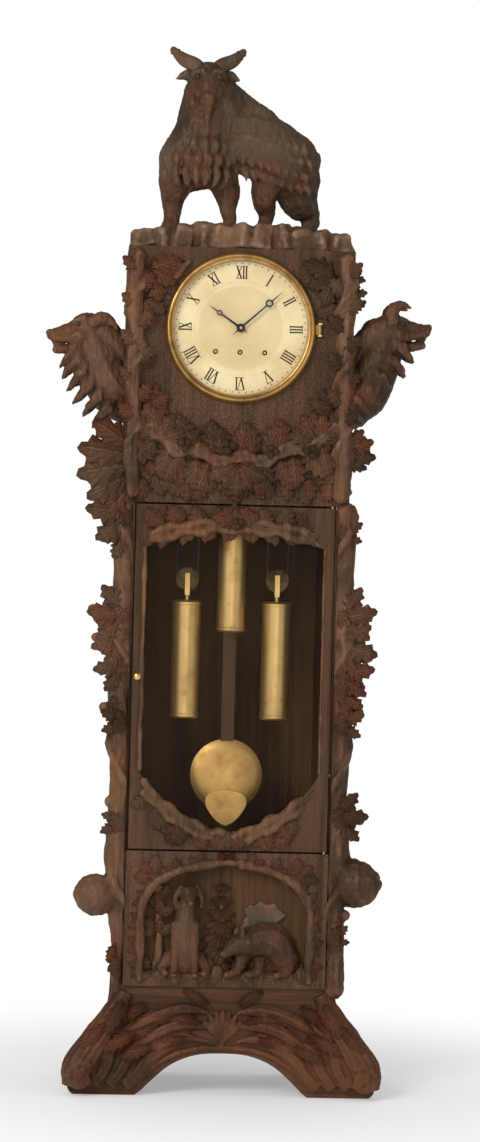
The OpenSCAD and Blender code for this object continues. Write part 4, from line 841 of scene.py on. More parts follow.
def columnShapes(side, burlZ, burl, foot, knots, radius, y, burlReach, **unused):
    x = caseX + radius - 0.003
    low = zPedestal - 0.01
    tall = zHood - low
    thin = [foot if t < 0.12 else 1 for t, dx, dy, r in sway]
    trunk = [(side * (x - radius * (1 - f) + dx / 1000), y + dy / 1000, low + tall * t)
             for f, (t, dx, dy, r) in zip(thin, sway)]
    shapes = [limb(trunk, [radius * r * f for f, (t, dx, dy, r) in zip(thin, sway)])]
    # A second stem fills the corner between the trunk and the case
    stem = [(side * (caseX + 0.004 + 0.002 * math.sin(1.9 * k)), y + 0.004 * math.cos(1.3 * k),
             low + 0.02 + (tall - 0.04) * k / 24) for k in range(25)]
    shapes.append(limb(stem, [0.0085 + 0.0015 * (k % 2) for k in range(25)], 1))
    # A vine winds round the trunk
    twist, thick = [], []
    for k in range(41):
        slim = foot if k < 7 else 1
        out = x - (1 - foot) * radius * (k < 7) + 0.02 * math.cos(0.62 * k) * slim
        twist.append((side * out, y - 0.002 + 0.02 * math.sin(0.62 * k),
                      low + 0.03 + (tall - 0.05) * k / 40))
        thick.append((0.0075 + 0.002 * (k % 3)) * slim)
    shapes.append(limb(twist, thick, 1))
    for z, reach in knots:
        branch = [(side * x, y, z - 0.016), (side * (x + reach * 0.6), y - 0.004, z - 0.005),
                  (side * (x + reach), y - 0.006, z)]
        shapes.append(limb(branch, [radius * 0.75, radius * 0.55, 0.0095]))
        stub = [(side * (x + reach), y - 0.006, z), (side * (x + reach + 0.004), y - 0.007, z + 0.001)]
        shapes.append(limb(stub, [0.0115, 0.0112], 2))
    shapes.append(limb([(side * x, y, burlZ - 0.02), (side * (caseX + burlReach), y - 0.004, burlZ)],
                       [radius * 0.9, burl]))
    for k in range(9):
        a, b = 2.4 * k, 0.7 * math.sin(1.9 * k)
        knob = (side * (caseX + burlReach + burl * 0.72 * math.cos(a) * math.cos(b)),
                y - 0.004 - burl * 0.58 * abs(math.sin(a)) * math.cos(b), burlZ + burl * 0.8 * math.sin(b))
        shapes.append(ball(knob, (burl * 0.36, burl * 0.34, burl * 0.36)))
    return shapes


def columnLeaves(side, sprays, radius, y, clear, **unused):
    leaves = []
    x = caseX + radius
    for z, turn, size in sprays:
        for k in (-1, 0, 1):
            stalk = (side * (x + 0.002), y - radius * 0.8, z + 0.014 * k)
            leaves.append(leafAt(stalk, heading(turn + 42 * k, -0.25, side), (side * 0.3, -1, 0.15),
                                 0.058 * size * (1 - 0.12 * abs(k))))
        for k in range(3):
            stalk = (side * (x - 0.002), y - radius * 0.95, z - 0.02 + 0.02 * k)
            along = heading(turn + 150 + 35 * k, -0.3, side)
            leaves.append(leafAt(stalk, along, (-side * 0.2, -1, 0.1), 0.034))
    # All stay beside the door, so that it opens
    beside = caseX + clear
    limits = (beside, math.inf) if side > 0 else (-math.inf, -beside)
    return [keptIn(leaf, 0, *limits) for leaf in leaves]


for side, name, form in ((-1, "left", leftColumn), (1, "right", rightColumn)):
    shapes = columnShapes(side, **column, **form)
    body = carvedSkin("column_" + name, shapes, voxel=0.0034, smooth=2, marks=barkMarks)
    for reach, depth in column["planes"]:
        inner, outer = sorted((side * 0.1, side * (caseX + reach)))
        planed(body, (inner, yFront - 0.2, zTrunk), (outer, yFront + depth, zHood + 0.02))
    stand = "branch_column_" + name
    foliage(stand + "_wood", body, columnLeaves(side, **column, **form), walnut, "case", "walnut", stand)

print("hood carving")
hoodForm = {"garland": 0.092, "sag": 0.006, "leafSize": 0.07, "rows": 3, "rowLeaves": 9}


def garlandZ(x):
    return zHood + hoodForm["garland"] + hoodForm["sag"] * (x * 3.8 / hoodX) ** 2


def hoodShapes():
    shapes = []
    tall = zTop - zHood - 0.046
    for side in (-1, 1):
        points = [(side * (hoodX - 0.019 + 0.006 * (k % 2)), yHood - 0.006, zHood + 0.024 + tall * k / 6)
                  for k in range(7)]
        shapes.append(limb(points, [0.017 + 0.003 * (k % 2) for k in range(7)]))
        twist = [(side * (hoodX - 0.018) + 0.018 * math.cos(0.8 * k),
                  yHood - 0.008 + 0.014 * math.sin(0.8 * k),
                  zHood + 0.03 + tall * k / 26) for k in range(26)]
        shapes.append(limb(twist, [0.006 + 0.0015 * (k % 3) for k in range(26)], 1))
    for lift in (0, 0.016):
        arch = []
        for k in range(-8, 9):
            x = k * hoodX / 9.4
            arch.append((x, yHood - 0.012, garlandZ(x) + lift * math.sin(k * 1.7 + lift * 60)))
        shapes.append(limb(arch, [0.0085 + 0.002 * (k % 2) for k in range(17)], 2))
    # Two short branches beside the bezel at the upper left
    for ring in range(2):
        points = []
        for k in (-17, -16, -15):
            a = math.radians(-90 + 8.2 * k)
            r = bezelR + 0.017 + 0.006 * math.sin(k * 1.3 + ring * 3)
            points.append((r * math.cos(a), yHood - 0.004, zDial + r * math.sin(a)))
        shapes.append(limb(points, [0.0065, 0.0085, 0.0065], 1))
    return shapes


def hoodLeaves(leafSize, rows, rowLeaves, **unused):
    leaves = []
    # Leaves that stand up and hang down along the garland
    for k in range(-7, 8):
        x = k * (hoodX - 0.03) / 7.2
        tip = 90 - 5 * k
        grow = 0.074 - 0.0012 * abs(k)
        if garlandZ(x) + grow < zDial - math.sqrt(max(0, (bezelR + 0.02) ** 2 - x * x)):
            leaves += sprig((x, yHood - 0.008, garlandZ(x) + 0.004), (tip + 24 * (k % 2) - 12,), grow)
        leaves += sprig((x, yHood - 0.006, garlandZ(x) - 0.008), (-tip + 26 * (k % 2) - 13,), leafSize)
    # Larger sprigs in the middle, in the four corners and beside the dial
    leaves += sprig((0.0, yHood - 0.014, zHood + 0.082), (205, 240, 270, 300, 335), 0.066)
    for side in (-1, 1):
        turn = 90 + side * 10
        fan = (turn - 60, turn - 20, turn + 20, turn + 60)
        leaves += sprig((side * 0.165, yHood - 0.01, zHood + 0.128), fan, leafSize)
        inward = 90 + side * 90
        for x, z, turns, size in ((0.192, zTop - 0.05, (-20, 25, 70), leafSize),
                                  (0.2, zTop - 0.112, (30, 75), 0.05),
                                  (0.196, zHood + 0.2, (-20, -60, 20), 0.056)):
            fan = [inward + side * turn for turn in turns]
            leaves += sprig((side * x, yHood - 0.004, z), fan, size)
        for k in range(9):
            z = zHood + 0.17 + 0.038 * k
            turn = 90 + side * (40 if k % 2 else -48)
            leaves += sprig((side * (hoodX - 0.022), yHood - 0.018, z), (turn,), 0.046)
    # Leaves that stand out from the right edge over the head
    for z, turn, size in ((0.44, 10, 0.034), (0.476, -12, 0.03), (0.41, 30, 0.036)):
        leaves += sprig((hoodX - 0.008, yHood - 0.004, zHood + z), (turn, turn + 50), size)
    random.seed(11)
    for row in range(rows):
        for k in range(rowLeaves):
            x = -hoodX + 0.04 + (k + 0.5 * (row % 2)) * (2 * hoodX - 0.08) / (rowLeaves - 0.5)
            if abs(x) < hoodX - 0.03:
                turn = random.uniform(195, 345)
                leaves += sprig((x, yHood - 0.003, zHood + 0.042 + 0.018 * row), (turn,), 0.05)
    # The clusters at the lower corners: a broad one on the left, a shorter and higher one on the right
    for side, turn, z, size in ((-1, 232, 0.024, 0.078), (-1, 208, 0.052, 0.096), (-1, 190, 0.074, 0.108),
                                (-1, 170, 0.094, 0.106), (-1, 146, 0.116, 0.088), (-1, 205, 0.014, 0.066),
                                (1, -16, 0.094, 0.046), (1, 2, 0.104, 0.062), (1, 22, 0.117, 0.06),
                                (1, 44, 0.128, 0.048)):
        stalk = (side * (hoodX - 0.01), yHood - 0.006 - 0.02 * size, zHood + z)
        leaves.append(leafAt(stalk, heading(turn, -0.16), (0, -1, 0.2), size))
    # All stay above the door or beside it, so that it opens
    for leaf in leaves:
        if max(abs(v.co.x) for v in leaf.data.vertices) < hoodX - 0.004:
            keptIn(leaf, 2, low=zHood + 0.001)
        elif min(v.co.z for v in leaf.data.vertices) < zHood:
            keptIn(leaf, 0, high=-caseX - 0.003)
    for x, z, r in ((-0.02, 0.118, 0.009), (0.07, 0.11, 0.008), (-0.11, 0.12, 0.008), (0.15, 0.112, 0.008)):
        leaves += berries((x, yHood - 0.022, zHood + z), r)
    return leaves


body = carvedSkin("hood_branches", hoodShapes(), voxel=0.0032, smooth=2, marks=barkMarks)
foliage("hood_foliage", body, hoodLeaves(**hoodForm), walnut, "case", "walnut", "hood_carving")

print("door carving")
windowHalf = (edge("door_glass", "high", 0) - edge("door_glass", "low", 0)) / 2
doorHalf = edge("trunk_door", "high", 0)
zDoorLow = edge("trunk_door", "low", 2)
zDoorTop = edge("trunk_door", "high", 2)
zGlassLow = edge("door_glass", "low", 2)
zGlassTop = edge("door_glass", "high", 2)
doorForm = {"drop": 0.124, "rise": 0.03, "hingeX": 0.152, "proud": 0.0045}


def headZ(x):
    return zGlassTop - doorForm["rise"] * (x / windowHalf) ** 2


def swagZ(x):
    return zGlassLow + doorForm["drop"] * (1 - (1 - min(1, abs(x) / windowHalf) ** 1.5) ** 0.75)


# The branches run thin beside the hinges, so that the open door clears the column
def doorShapes(hingeX, **unused):
    reach = doorHalf - 0.02
    shapes = []
    for side in (-1, 1):
        top, low = headZ(windowHalf), swagZ(windowHalf)
        bead = [(side * windowHalf * 1.004, yDoor - (0 if side > 0 else 0.002), z)
                for z in (top - 0.004, (top + low) / 2, low + 0.004)]
        shapes.append(limb(bead, [0.0034 if side > 0 else 0.0048] * 3, 2))
    for offset in (0.006, 0.022):
        for count, height, way in ((8, headZ, 1), (10, swagZ, -1)):
            points, thick = [], []
            for k in range(2 * count + 1):
                x = (k - count) * reach / (count + 0.6)
                wave = 0.004 * math.sin(k * 2.1 + offset * 200)
                beside = x > hingeX
                points.append((x, yDoor - (0.0 if beside else 0.006), height(x) + way * offset + wave))
                thick.append(0.0034 if beside else 0.0085 + 0.002 * (k % 2))
            shapes.append(limb(points, thick))
    return shapes


def doorLeaves(hingeX, proud, **unused):
    reach = doorHalf - 0.034
    leaves = []
    for k in range(-8, 9):
        x = k * reach / 8.2
        if x > hingeX - 0.035:
            continue
        spin = 40 * (k % 2) - 20
        for depth, z, turn, size in ((0.006, headZ(x) + 0.03, 90 - 5 * k, 0.046),
                                     (0.005, headZ(x) + 0.006, 265 + 5 * k, 0.026),
                                     (0.005, swagZ(x) - 0.024, -90 + 5 * k, 0.04)):
            leaves += sprig((x, yDoor - depth, z), (turn + spin,), size)
    for x, z, turn in ((-0.16, 0.046, 60), (-0.11, 0.05, 120), (0.12, 0.044, 20), (0.134, 0.024, 80),
                       (0.15, 0.046, 150), (0.156, 0.016, 110)):
        leaves += sprig((x, yDoor - 0.002, headZ(x) + z), (turn,), 0.034, lean=-0.06)
    leaves += sprig((0, yDoor - 0.014, zGlassTop + 0.02), (20, 55, 90, 125, 160), 0.05)
    leaves += sprig((0, yDoor - 0.012, zGlassLow - 0.014), (190, 230, 270, 310, 350), 0.04)
    for side in (-1, 1):
        turn = 90 + side * 55
        for x, z, turns, size in ((0.132, 0.03, (-55, 0, 55), 0.046), (0.072, 0.02, (-30, 40), 0.034)):
            fan = [turn + more for more in turns]
            leaves += sprig((side * x, yDoor - 0.003, zDoorLow + z), fan, size, -0.1)
    for leaf in leaves:
        keptIn(leaf, 2, zDoorLow + 0.001, zDoorTop - 0.001)
        if max(v.co.x for v in leaf.data.vertices) > hingeX:
            keptIn(leaf, 0, high=doorHalf - 0.03)
            keptIn(leaf, 1, low=yDoor - proud)
    leaves += berries((0.004, yDoor - 0.022, zGlassTop + 0.02), 0.007)
    return leaves


body = carvedSkin("door_branches", doorShapes(**doorForm), voxel=0.0028, smooth=2, marks=barkMarks)
planed(body, (doorForm["hingeX"] - 0.004, yDoor - 0.1, zDoorLow),
       (doorHalf + 0.02, yDoor - doorForm["proud"], zDoorTop))
foliage("door_foliage", body, doorLeaves(**doorForm), walnut, "door", "walnut", "door_carving")

print("pedestal relief")
recess = {"foot": zPedestal + 0.0192, "width": 0.352, "height": 0.232}


def sittingHound(foot, width, **unused):
    def at(x, y, z):
        return (-width * 0.24 + 1.18 * x, yFront + y, foot + 1.18 * z)

    shapes = [limb([at(0.002, -0.004, 0.026), at(0, -0.012, 0.066), at(0.002, -0.016, 0.104),
                    at(0.006, -0.018, 0.138)], [0.032, 0.03, 0.023, 0.016]),
              ball(at(0.006, -0.02, 0.148), (0.0185, 0.017, 0.017)),
              limb([at(0.006, -0.024, 0.146), at(0.008, -0.038, 0.138), at(0.009, -0.05, 0.133)],
                   [0.014, 0.0105, 0.0075]),
              ball(at(0.0092, -0.056, 0.136), (0.004, 0.0035, 0.003))]
    for s in (-1, 1):
        shapes.append(limb([at(0.006 + 0.013 * s, -0.016, 0.158), at(0.006 + 0.022 * s, -0.018, 0.142),
                            at(0.006 + 0.022 * s, -0.018, 0.122)], [0.006, 0.007, 0.003]))
        shapes.append(limb([at(0.001 + 0.015 * s, -0.022, 0.09), at(0.001 + 0.017 * s, -0.032, 0.046),
                            at(0.001 + 0.018 * s, -0.034, 0.008)], [0.013, 0.009, 0.008]))
        shapes.append(ball(at(0.001 + 0.018 * s, -0.041, 0.006), (0.009, 0.012, 0.006)))
        shapes.append(limb([at(0.001 + 0.024 * s, -0.01, 0.03), at(0.001 + 0.038 * s, -0.02, 0.014),
                            at(0.001 + 0.034 * s, -0.036, 0.008)], [0.019, 0.012, 0.007]))
    return shapes


def restingBear(foot, width, **unused):
    def at(x, y, z):
        return (width * 0.2 + 1.15 * x, yFront + y, foot + 1.15 * z)

    shapes = [limb([at(0.046, 0, 0.034), at(0.022, -0.004, 0.064), at(-0.014, -0.006, 0.062)],
                   [0.036, 0.044, 0.036]),
              limb([at(-0.02, -0.014, 0.062), at(-0.044, -0.022, 0.056), at(-0.062, -0.032, 0.044)],
                   [0.03, 0.021, 0.009]),
              ball(at(-0.068, -0.036, 0.044), (0.004, 0.005, 0.004))]
    for dx, dy in ((-0.04, -0.012), (-0.03, -0.034)):
        shapes.append(limb([at(dx, dy, 0.078), at(dx + 0.001, dy + 0.002, 0.088)], [0.008, 0.005]))
    for a, b, c, r in (((-0.028, -0.016, 0.036), (-0.042, -0.03, 0.012), (-0.056, -0.036, 0.007), 0.016),
                       ((0.004, -0.014, 0.034), (-0.004, -0.03, 0.012), (-0.018, -0.036, 0.007), 0.015),
                       ((0.054, -0.01, 0.03), (0.05, -0.026, 0.012), (0.034, -0.034, 0.007), 0.022)):
        shapes.append(limb([at(*a), at(*b), at(*c)], [r, 0.011, 0.0075]))
    return shapes


for name, beastShapes, stand in (("pedestal_hound", sittingHound, "sitting_hound"),
                                 ("pedestal_bear", restingBear, "resting_bear")):
    relief = carvedSkin(name, beastShapes(**recess), voxel=0.0024, smooth=2, marks=furMarks[1:])
    addWearAndShade(relief)
    dressed(relief, redFur, "case", "walnut", stand)


def frameLeaves(foot, width, height):
    leaves = []
    w = width / 2
    random.seed(5)
    rim = [(0.98, 0.1), (0.99, 0.3), (0.98, 0.5), (0.93, 0.68), (0.8, 0.84), (0.56, 0.95), (0.3, 1.0),
           (0, 1.02)]
    for x, t in rim:
        for side in (-1, 1):
            turn = math.degrees(math.atan2(t - 0.45, side * x + 0.001))
            leaves += sprig((side * w * x, yFront - 0.024, foot + height * t), (turn + 30, turn - 30), 0.032)
    for side in (-1, 1):
        turn = 90 - side * 45
        fan = (turn - 50, turn, turn + 50, turn + 150)
        leaves += sprig((side * 0.15, yFront - 0.024, zTrunk - 0.05), fan, 0.042)
    # The tree at the left edge, the tiers of the fir, and the grass
    twigs = ((-0.142, 0.15, 90), (-0.14, 0.13, 20), (-0.146, 0.1, 150), (-0.136, 0.09, 30),
             (-0.14, 0.165, 50))
    for x, z, turn in twigs:
        leaves += sprig((x, yFront - 0.012, foot + z), (turn, turn + 60), 0.034)
    for tier in range(6):
        place = (-0.008, yFront - 0.006, foot + 0.062 + 0.026 * tier)
        for turn in (200, 228, 256, 284, 312, 340):
            leaves += sprig(place, (turn,), 0.05 - 0.0062 * tier, -0.12, longLeaf)
    for k in range(16):
        x = -w * 0.95 + 1.9 * w * k / 15
        along = (random.uniform(-0.6, 0.6), -0.5, 1)
        leaves.append(leafAt((x, yFront - 0.008, foot + 0.004), along, (0, -1, 0.3),
                             random.uniform(0.024, 0.038)))
    return leaves


def frameShapes(foot, width, height):
    w = width / 2
    rim = [(1.0, -0.02), (1.0, 0.3), (1.0, 0.58), (0.9, 0.78), (0.62, 0.93), (0.3, 1.0), (0, 1.03)]
    line = rim + [(-x, t) for x, t in reversed(rim[:-1])]
    shapes = [limb([(w * x, yFront - 0.024, foot + height * t) for x, t in line],
                   [0.0085 + 0.0025 * (k % 2) for k in range(len(line))], 2)]
    for k in range(12):
        x = -w * 0.92 + 1.84 * w * k / 11
        shapes.append(ball((x, yFront - 0.01, foot + 0.002), (0.02, 0.018, 0.012 + 0.006 * (k % 3))))
    # The trunk of a small fir between the beasts, and a tree at the left edge
    shapes.append(limb([(-0.008, yFront - 0.003, foot), (-0.008, yFront - 0.003, foot + 0.1),
                        (-0.008, yFront - 0.002, foot + 0.198)], [0.007, 0.0055, 0.003]))
    shapes.append(limb([(-0.142, yFront - 0.004, foot), (-0.136, yFront - 0.004, foot + 0.07),
                        (-0.14, yFront - 0.006, foot + 0.14)], [0.011, 0.008, 0.006]))
    return shapes


# The rocks behind the bear, piled in six tiers
def crag(foot, width, **unused):
    random.seed(9)
    shapes = []
    for k in range(34):
        t = (k % 6) / 5
        u = random.uniform(-1, 1) * (1 - 0.55 * t)
        size = random.uniform(0.034, 0.054) * (1 - 0.3 * t)
        z = foot + 0.03 + 0.118 * t * (1 - 0.3 * abs(u))
        place = (width * 0.21 + 0.062 * u, yFront - 0.001 + 0.004 * t, z)
        shapes.append(stone(place, (size * 1.1, 0.024, size), (0, random.uniform(-0.9, 0.9), 0)))
    return shapes


rocks = carvedSkin("recess_crag", crag(**recess), voxel=0.0028, smooth=1, marks=rockMarks)
addWearAndShade(rocks)
dressed(rocks, greyRock, "case", "walnut")
body = carvedSkin("recess_branches", frameShapes(**recess), voxel=0.0028, smooth=2, marks=barkMarks)
foliage("recess_frame", body, frameLeaves(**recess), walnut, "case", "walnut")

print("feet")
foot = {"toe": 0.038, "skirtX": caseX + 0.021, "tall": 0.228}


def footShapes(side, toe, skirtX, tall):
    y = edge("front_foot_right", "low", 1) + toe
    toeX = footX - toe - 0.002
    toeZ = toe + 0.004

    def at(x, dy, z):
        return (side * x, y + dy, z)

    shapes = [ribbed([at(skirtX - 0.03, 0.008, tall * 0.94), at(skirtX - 0.004, 0.006, tall * 0.74),
                      at(footX - toe - 0.034, 0.002, tall * 0.5), at(footX - toe - 0.001, 0, tall * 0.26),
                      at(toeX, 0, toe * 0.62)],
                     [toe * 0.46, toe * 0.68, toe * 0.86, toe * 0.98, toe * 0.98], 14, 0.2)]
    # Acanthus lobes that sweep from the apron to the toe
    for k in range(3):
        shapes.append(ribbed([at(skirtX - 0.05 - 0.042 * k, 0.014, tall * (0.66 - 0.1 * k)),
                              at(skirtX - 0.004 - 0.038 * k, 0.004, tall * (0.47 - 0.06 * k)),
                              at(footX - toe - 0.054 - 0.034 * k, 0.002, tall * (0.25 - 0.015 * k)),
                              at(footX - toe - 0.03 - 0.032 * k, 0.0, 0.022)],
                             [toe * 0.3, toe * 0.52, toe * 0.5, toe * 0.42], 8, 0.22, 0.4))
    # The volute at the toe
    for k in range(22):
        a = 2.2 - k * 0.42
        r = 0.03 * (1 - k / 26)
        place = at(toeX + r * math.cos(a), -toe * 0.6, toeZ + r * math.sin(a))
        shapes.append(ball(place, (0.0075, 0.014, 0.0075)))
    shapes.append(ball(at(toeX, -toe * 0.6, toeZ), (0.009, 0.0145, 0.009)))
    return shapes


def footLeaves(side, skirtX, **unused):
    leaves = []
    y = edge("front_foot_right", "low", 1) + 0.012
    for x, z, tilt, size in ((skirtX - 0.022, 0.2, -62, 0.09), (skirtX + 0.012, 0.152, -48, 0.086),
                             (skirtX - 0.05, 0.136, -30, 0.08), (skirtX - 0.085, 0.108, -22, 0.07)):
        leaf = leafAt((side * x, y, z), heading(tilt, -0.12, side), (0, -1, 0.15), size, longLeaf)
        leaves.append(keptIn(leaf, 1, low=y - 0.0115))
    return leaves


for side, name in ((-1, "left"), (1, "right")):
    body = carvedSkin("foot_" + name, footShapes(side, **foot), voxel=0.003, smooth=1, marks=gougeMarks)
    pick(body)
    bpy.ops.object.mode_set(mode="EDIT")
    # The floor cuts off what is below, and the case's board what is behind
    for place, normal, inner in (((0, 0, 0.0005), (0, 0, 1), True),
                                 ((0, yFront - 0.016, 0), (0, 1, 0), False)):
        bpy.ops.mesh.select_all(action="SELECT")
        bpy.ops.mesh.bisect(plane_co=place, plane_no=normal, use_fill=True, clear_inner=inner,
                            clear_outer=not inner)
    bpy.ops.object.mode_set(mode="OBJECT")
    foliage("foot_scroll_" + name, body, footLeaves(side, **foot), redWalnut, "case", "red_walnut",
            "front_foot_" + name)

print("apron and rear skirts")
zSkirt = edge("front_skirt", "high", 2)
yApron = edge("front_skirt", "low", 1)
archForm = {"half": 0.197, "rise": 0.092}


def archZ(x, half, rise):
    return rise * max(0, 1 - (abs(x) / half) ** 2.6)


# A bead along the arch, a shell in the middle and acanthus leaves that sweep out to the feet
def apronShapes(half, rise):
    xs = [half * 0.96 * k / 14 for k in range(-14, 15)]
    shapes = [limb([(x, yApron - 0.003, archZ(x, half, rise) + 0.009) for x in xs], [0.0065] * len(xs), 2)]
    for k in range(7):
        a = math.radians(42 + 16 * k)
        shapes.append(limb([(0, yApron - 0.004, rise + 0.022),
                            (0.03 * math.cos(a), yApron - 0.009, rise + 0.022 + 0.036 * math.sin(a)),
                            (0.05 * math.cos(a), yApron - 0.004, rise + 0.022 + 0.062 * math.sin(a))],
                           [0.005, 0.008, 0.0045], 2))
    for side in (-1, 1):
        for z, drop, r in ((0.05, 0.05, 0.016), (0.082, 0.034, 0.015), (0.022, 0.052, 0.012)):
            scroll = [(side * 0.03, yApron - 0.002, rise + z),
                      (side * 0.085, yApron - 0.004, rise + z + 0.006),
                      (side * 0.15, yApron - 0.004, rise + z - drop * 0.45),
                      (side * 0.205, yApron - 0.002, rise + z - drop * 1.5)]
            shapes.append(ribbed(scroll, [r * 0.35, r, r * 0.95, r * 0.5], 6, 0.25, 0.3, around=30))
    return shapes


def apronLeaves(rise, **unused):
    leaves = []
    for side in (-1, 1):
        for x, z, tilt, size in ((0.05, 0.062, 12, 0.1), (0.095, 0.08, -12, 0.105), (0.135, 0.06, -34, 0.1),
                                 (0.075, 0.03, -8, 0.08), (0.03, 0.1, 30, 0.06), (0.16, 0.098, -30, 0.07)):
            stalk = (side * x, yApron - 0.014, rise + z)
            leaves.append(leafAt(stalk, heading(tilt, 0.0, side), (0, -1, 0.2), size, longLeaf))
    return leaves


body = carvedSkin("apron_branches", apronShapes(**archForm), voxel=0.0028, smooth=1, marks=gougeMarks)
foliage("apron_carving", body, apronLeaves(**archForm), redWalnut, "case", "red_walnut")


# A board cut to an outline, across X or turned to lie along Y
def shapedBoard(name, outline, thick, place, turned=False):
    front = [(x, 0, z) for x, z in outline]
    back = [(x, thick, z) for x, z in outline]
    count = len(outline)
    faces = [tuple(range(count)), tuple(reversed(range(count, 2 * count)))]
    faces += [(k, k + count, (k + 1) % count + count, (k + 1) % count) for k in range(count)]
    mesh = bpy.data.meshes.new(name)
    mesh.from_pydata(front + back, [], faces)
    if turned:
        mesh.transform(Matrix.Rotation(math.pi / 2, 4, "Z"))
    mesh.transform(Matrix.Translation(place))
    obj = outward(linked(name, mesh))
    return applied(obj, "BEVEL", width=0.0015, segments=2, limit_method="ANGLE")


rearForm = {"flare": 0.04, "half": 0.2, "rise": 0.088, "sideRise": 0.064, "thick": 0.02}


def rearSkirts(flare, half, rise, sideRise, thick):
    yBack = edge("plain_skirts", "high", 1)
    skirtX = caseX + 0.021
    profile = ((0.9, 0), (1, 0.06), (0.98, 0.16), (0.78, 0.28), (0.45, 0.42), (0.2, 0.56), (0.06, 0.75),
               (0, 1))
    outer = [(skirtX + flare * p, zSkirt * t) for p, t in profile]
    arch = [(half * k / 12, archZ(half * k / 12, half, rise)) for k in range(1, 12)] + [(half, 0)]
    right = arch + outer
    left = [(-x, z) for x, z in reversed(right)]
    skirts = [shapedBoard("rear", right + left, thick, (0, yBack - thick, 0))]
    yStart = edge("front_skirt", "high", 1)
    deep = yBack - thick - yStart
    sideArch = [(deep * (0.5 + 0.34 * k / 8), sideRise * (1 - (abs(k) / 8) ** 2.4)) for k in range(-8, 9)]
    outline = [(0, 0)] + sideArch + [(deep, 0), (deep, zSkirt), (0, zSkirt)]
    for side in (-1, 1):
        x = side * (caseX - thick / 2) + thick / 2
        skirts.append(shapedBoard("side", outline, thick, (x, yStart, 0), turned=True))
    return skirts


dressed(joined("rear_skirts", rearSkirts(**rearForm)), boards, "case", "walnut", "plain_skirts")

print("cables")
rope = {"radius": 0.001}


def cableShape(name, radius):
    low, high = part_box("cable_" + name)
    mid = (low.y + high.y) / 2
    half = (high.x - low.x) / 2 - radius
    x = (low.x + high.x) / 2
    # One end is at the seat board and the other at the drum
    tops = [edge("seat_board", "low", 2), high.z]
    if name == "right":
        tops.reverse()
    zPulley = low.z + half + radius
    points = [(x + half, mid, tops[0]), (x + half, mid, zPulley + 0.02)]
    for k in range(13):
        a = math.pi * k / 12
        points.append((x + half * math.cos(a), mid, zPulley - half * math.sin(a)))
    points += [(x - half, mid, zPulley + 0.02), (x - half, mid, tops[1])]
    return limb(points, [radius] * len(points), 1), zPulley


for name in ("left", "centre", "right"):
    cable, zPulley = cableShape(name, **rope)
    cable.name = "wire_" + name
    painted(cable, steel)
    smoothed(cable)
    name + "_weight"
    zPulley + 0.02
    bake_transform(cable)
    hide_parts("cable_" + name)

for pattern in (leafPattern, longLeaf):
    bpy.data.objects.remove(pattern)

print("dial")


def dialMaterial():
    material, wire, place, shader = newMaterial("dial_enamel", Coat_Weight=0.2)
    x = wire.node("SeparateXYZ", None, {0: place}, out="X")
    z = wire.node("SeparateXYZ", None, {0: place}, out="Z") - zDial
    r = (x * x + z * z) ** 0.5
    turn = wire.math("ARCTAN2", z, x) / (2 * math.pi)
    crackle = noise(wire, place, 130, 4, 0.6)
    cloud = noise(wire, place, 14, 3, 0.5)
    base = cloud.step(0.3, 0.7).blend(srgb(226, 208, 160), srgb(208, 184, 130))
    centre = (1 - r.step(dialR * 0.58, dialR * 0.62)) * 0.35
    base = centre.blend(base, srgb(192, 164, 106))
    ring = r.step(dialR * 0.9, dialR * 0.905) * (1 - r.step(dialR * 0.925, dialR * 0.93))
    minute = wire.math("FRACT", turn * 60 + 0.5) - 0.5
    ticks = 1 - wire.math("ABSOLUTE", minute).step(0.08, 0.12)
    base = (ring * ticks * 0.7).clamped().blend(base, srgb(52, 38, 26))
    base = (r.step(dialR * 0.93, dialR) * 0.5).blend(base, srgb(170, 138, 84))
    finishMaterial(wire, shader, base, 0.34 + crackle * 0.12, crackle * 0.3 + ring * 0.4, 0.0003)
    return material


enamel = dialMaterial()


def stroke(x, z, wide, tall, lean=0.0):
    bpy.ops.mesh.primitive_cube_add(size=1, location=(x, 0, z), scale=(wide, 0.0006, tall),
                                    rotation=(0, lean, 0))
    return joined("stroke", [bpy.context.object])


numeral = {"tall": 0.026, "wide": 0.0028, "narrow": 0.0058, "broad": 0.0118}
romans = ["XII", "I", "II", "III", "IIII", "V", "VI", "VII", "VIII", "IX", "X", "XI"]


def romanNumeral(text, tall, wide, narrow, broad):
    parts, x = [], 0.0
    for letter in text:
        if letter == "I":
            parts.append(stroke(x + 0.002, 0, wide, tall))
            x += narrow
        else:
            lean, apart = (0.26, 0.0032) if letter == "V" else (0.36, 0.0)
            parts.append(stroke(x + 0.0045 - apart, 0, wide * 1.15, tall, -lean))
            parts.append(stroke(x + 0.0045 + apart, 0, wide * 0.5, tall, lean))
            x += broad
    for end in (-1, 1):
        parts.append(stroke(x / 2 - 0.001, end * tall / 2, x + 0.001, 0.0009))
    one = joined("numeral", parts)
    one.data.transform(Matrix.Translation((-x / 2 + 0.001, 0, 0)))
    return one


figures = []
yFigures = edge("dial_plate", "low", 1) - 0.0002
for hour, text in enumerate(romans):
    one = romanNumeral(text, **numeral)
    turn = Matrix.Rotation(math.radians(30 * hour), 4, "Y")
    centre = Matrix.Translation((0, yFigures, zDial))
    one.data.transform(centre @ turn @ Matrix.Translation((0, 0, dialR * 0.79)))
    figures.append(one)
ink = boardWalnut("numeral_ink", srgb(34, 26, 18), srgb(54, 41, 28), srgb(74, 58, 40))
dressed(joined("numerals", figures), ink, "case", "steel")

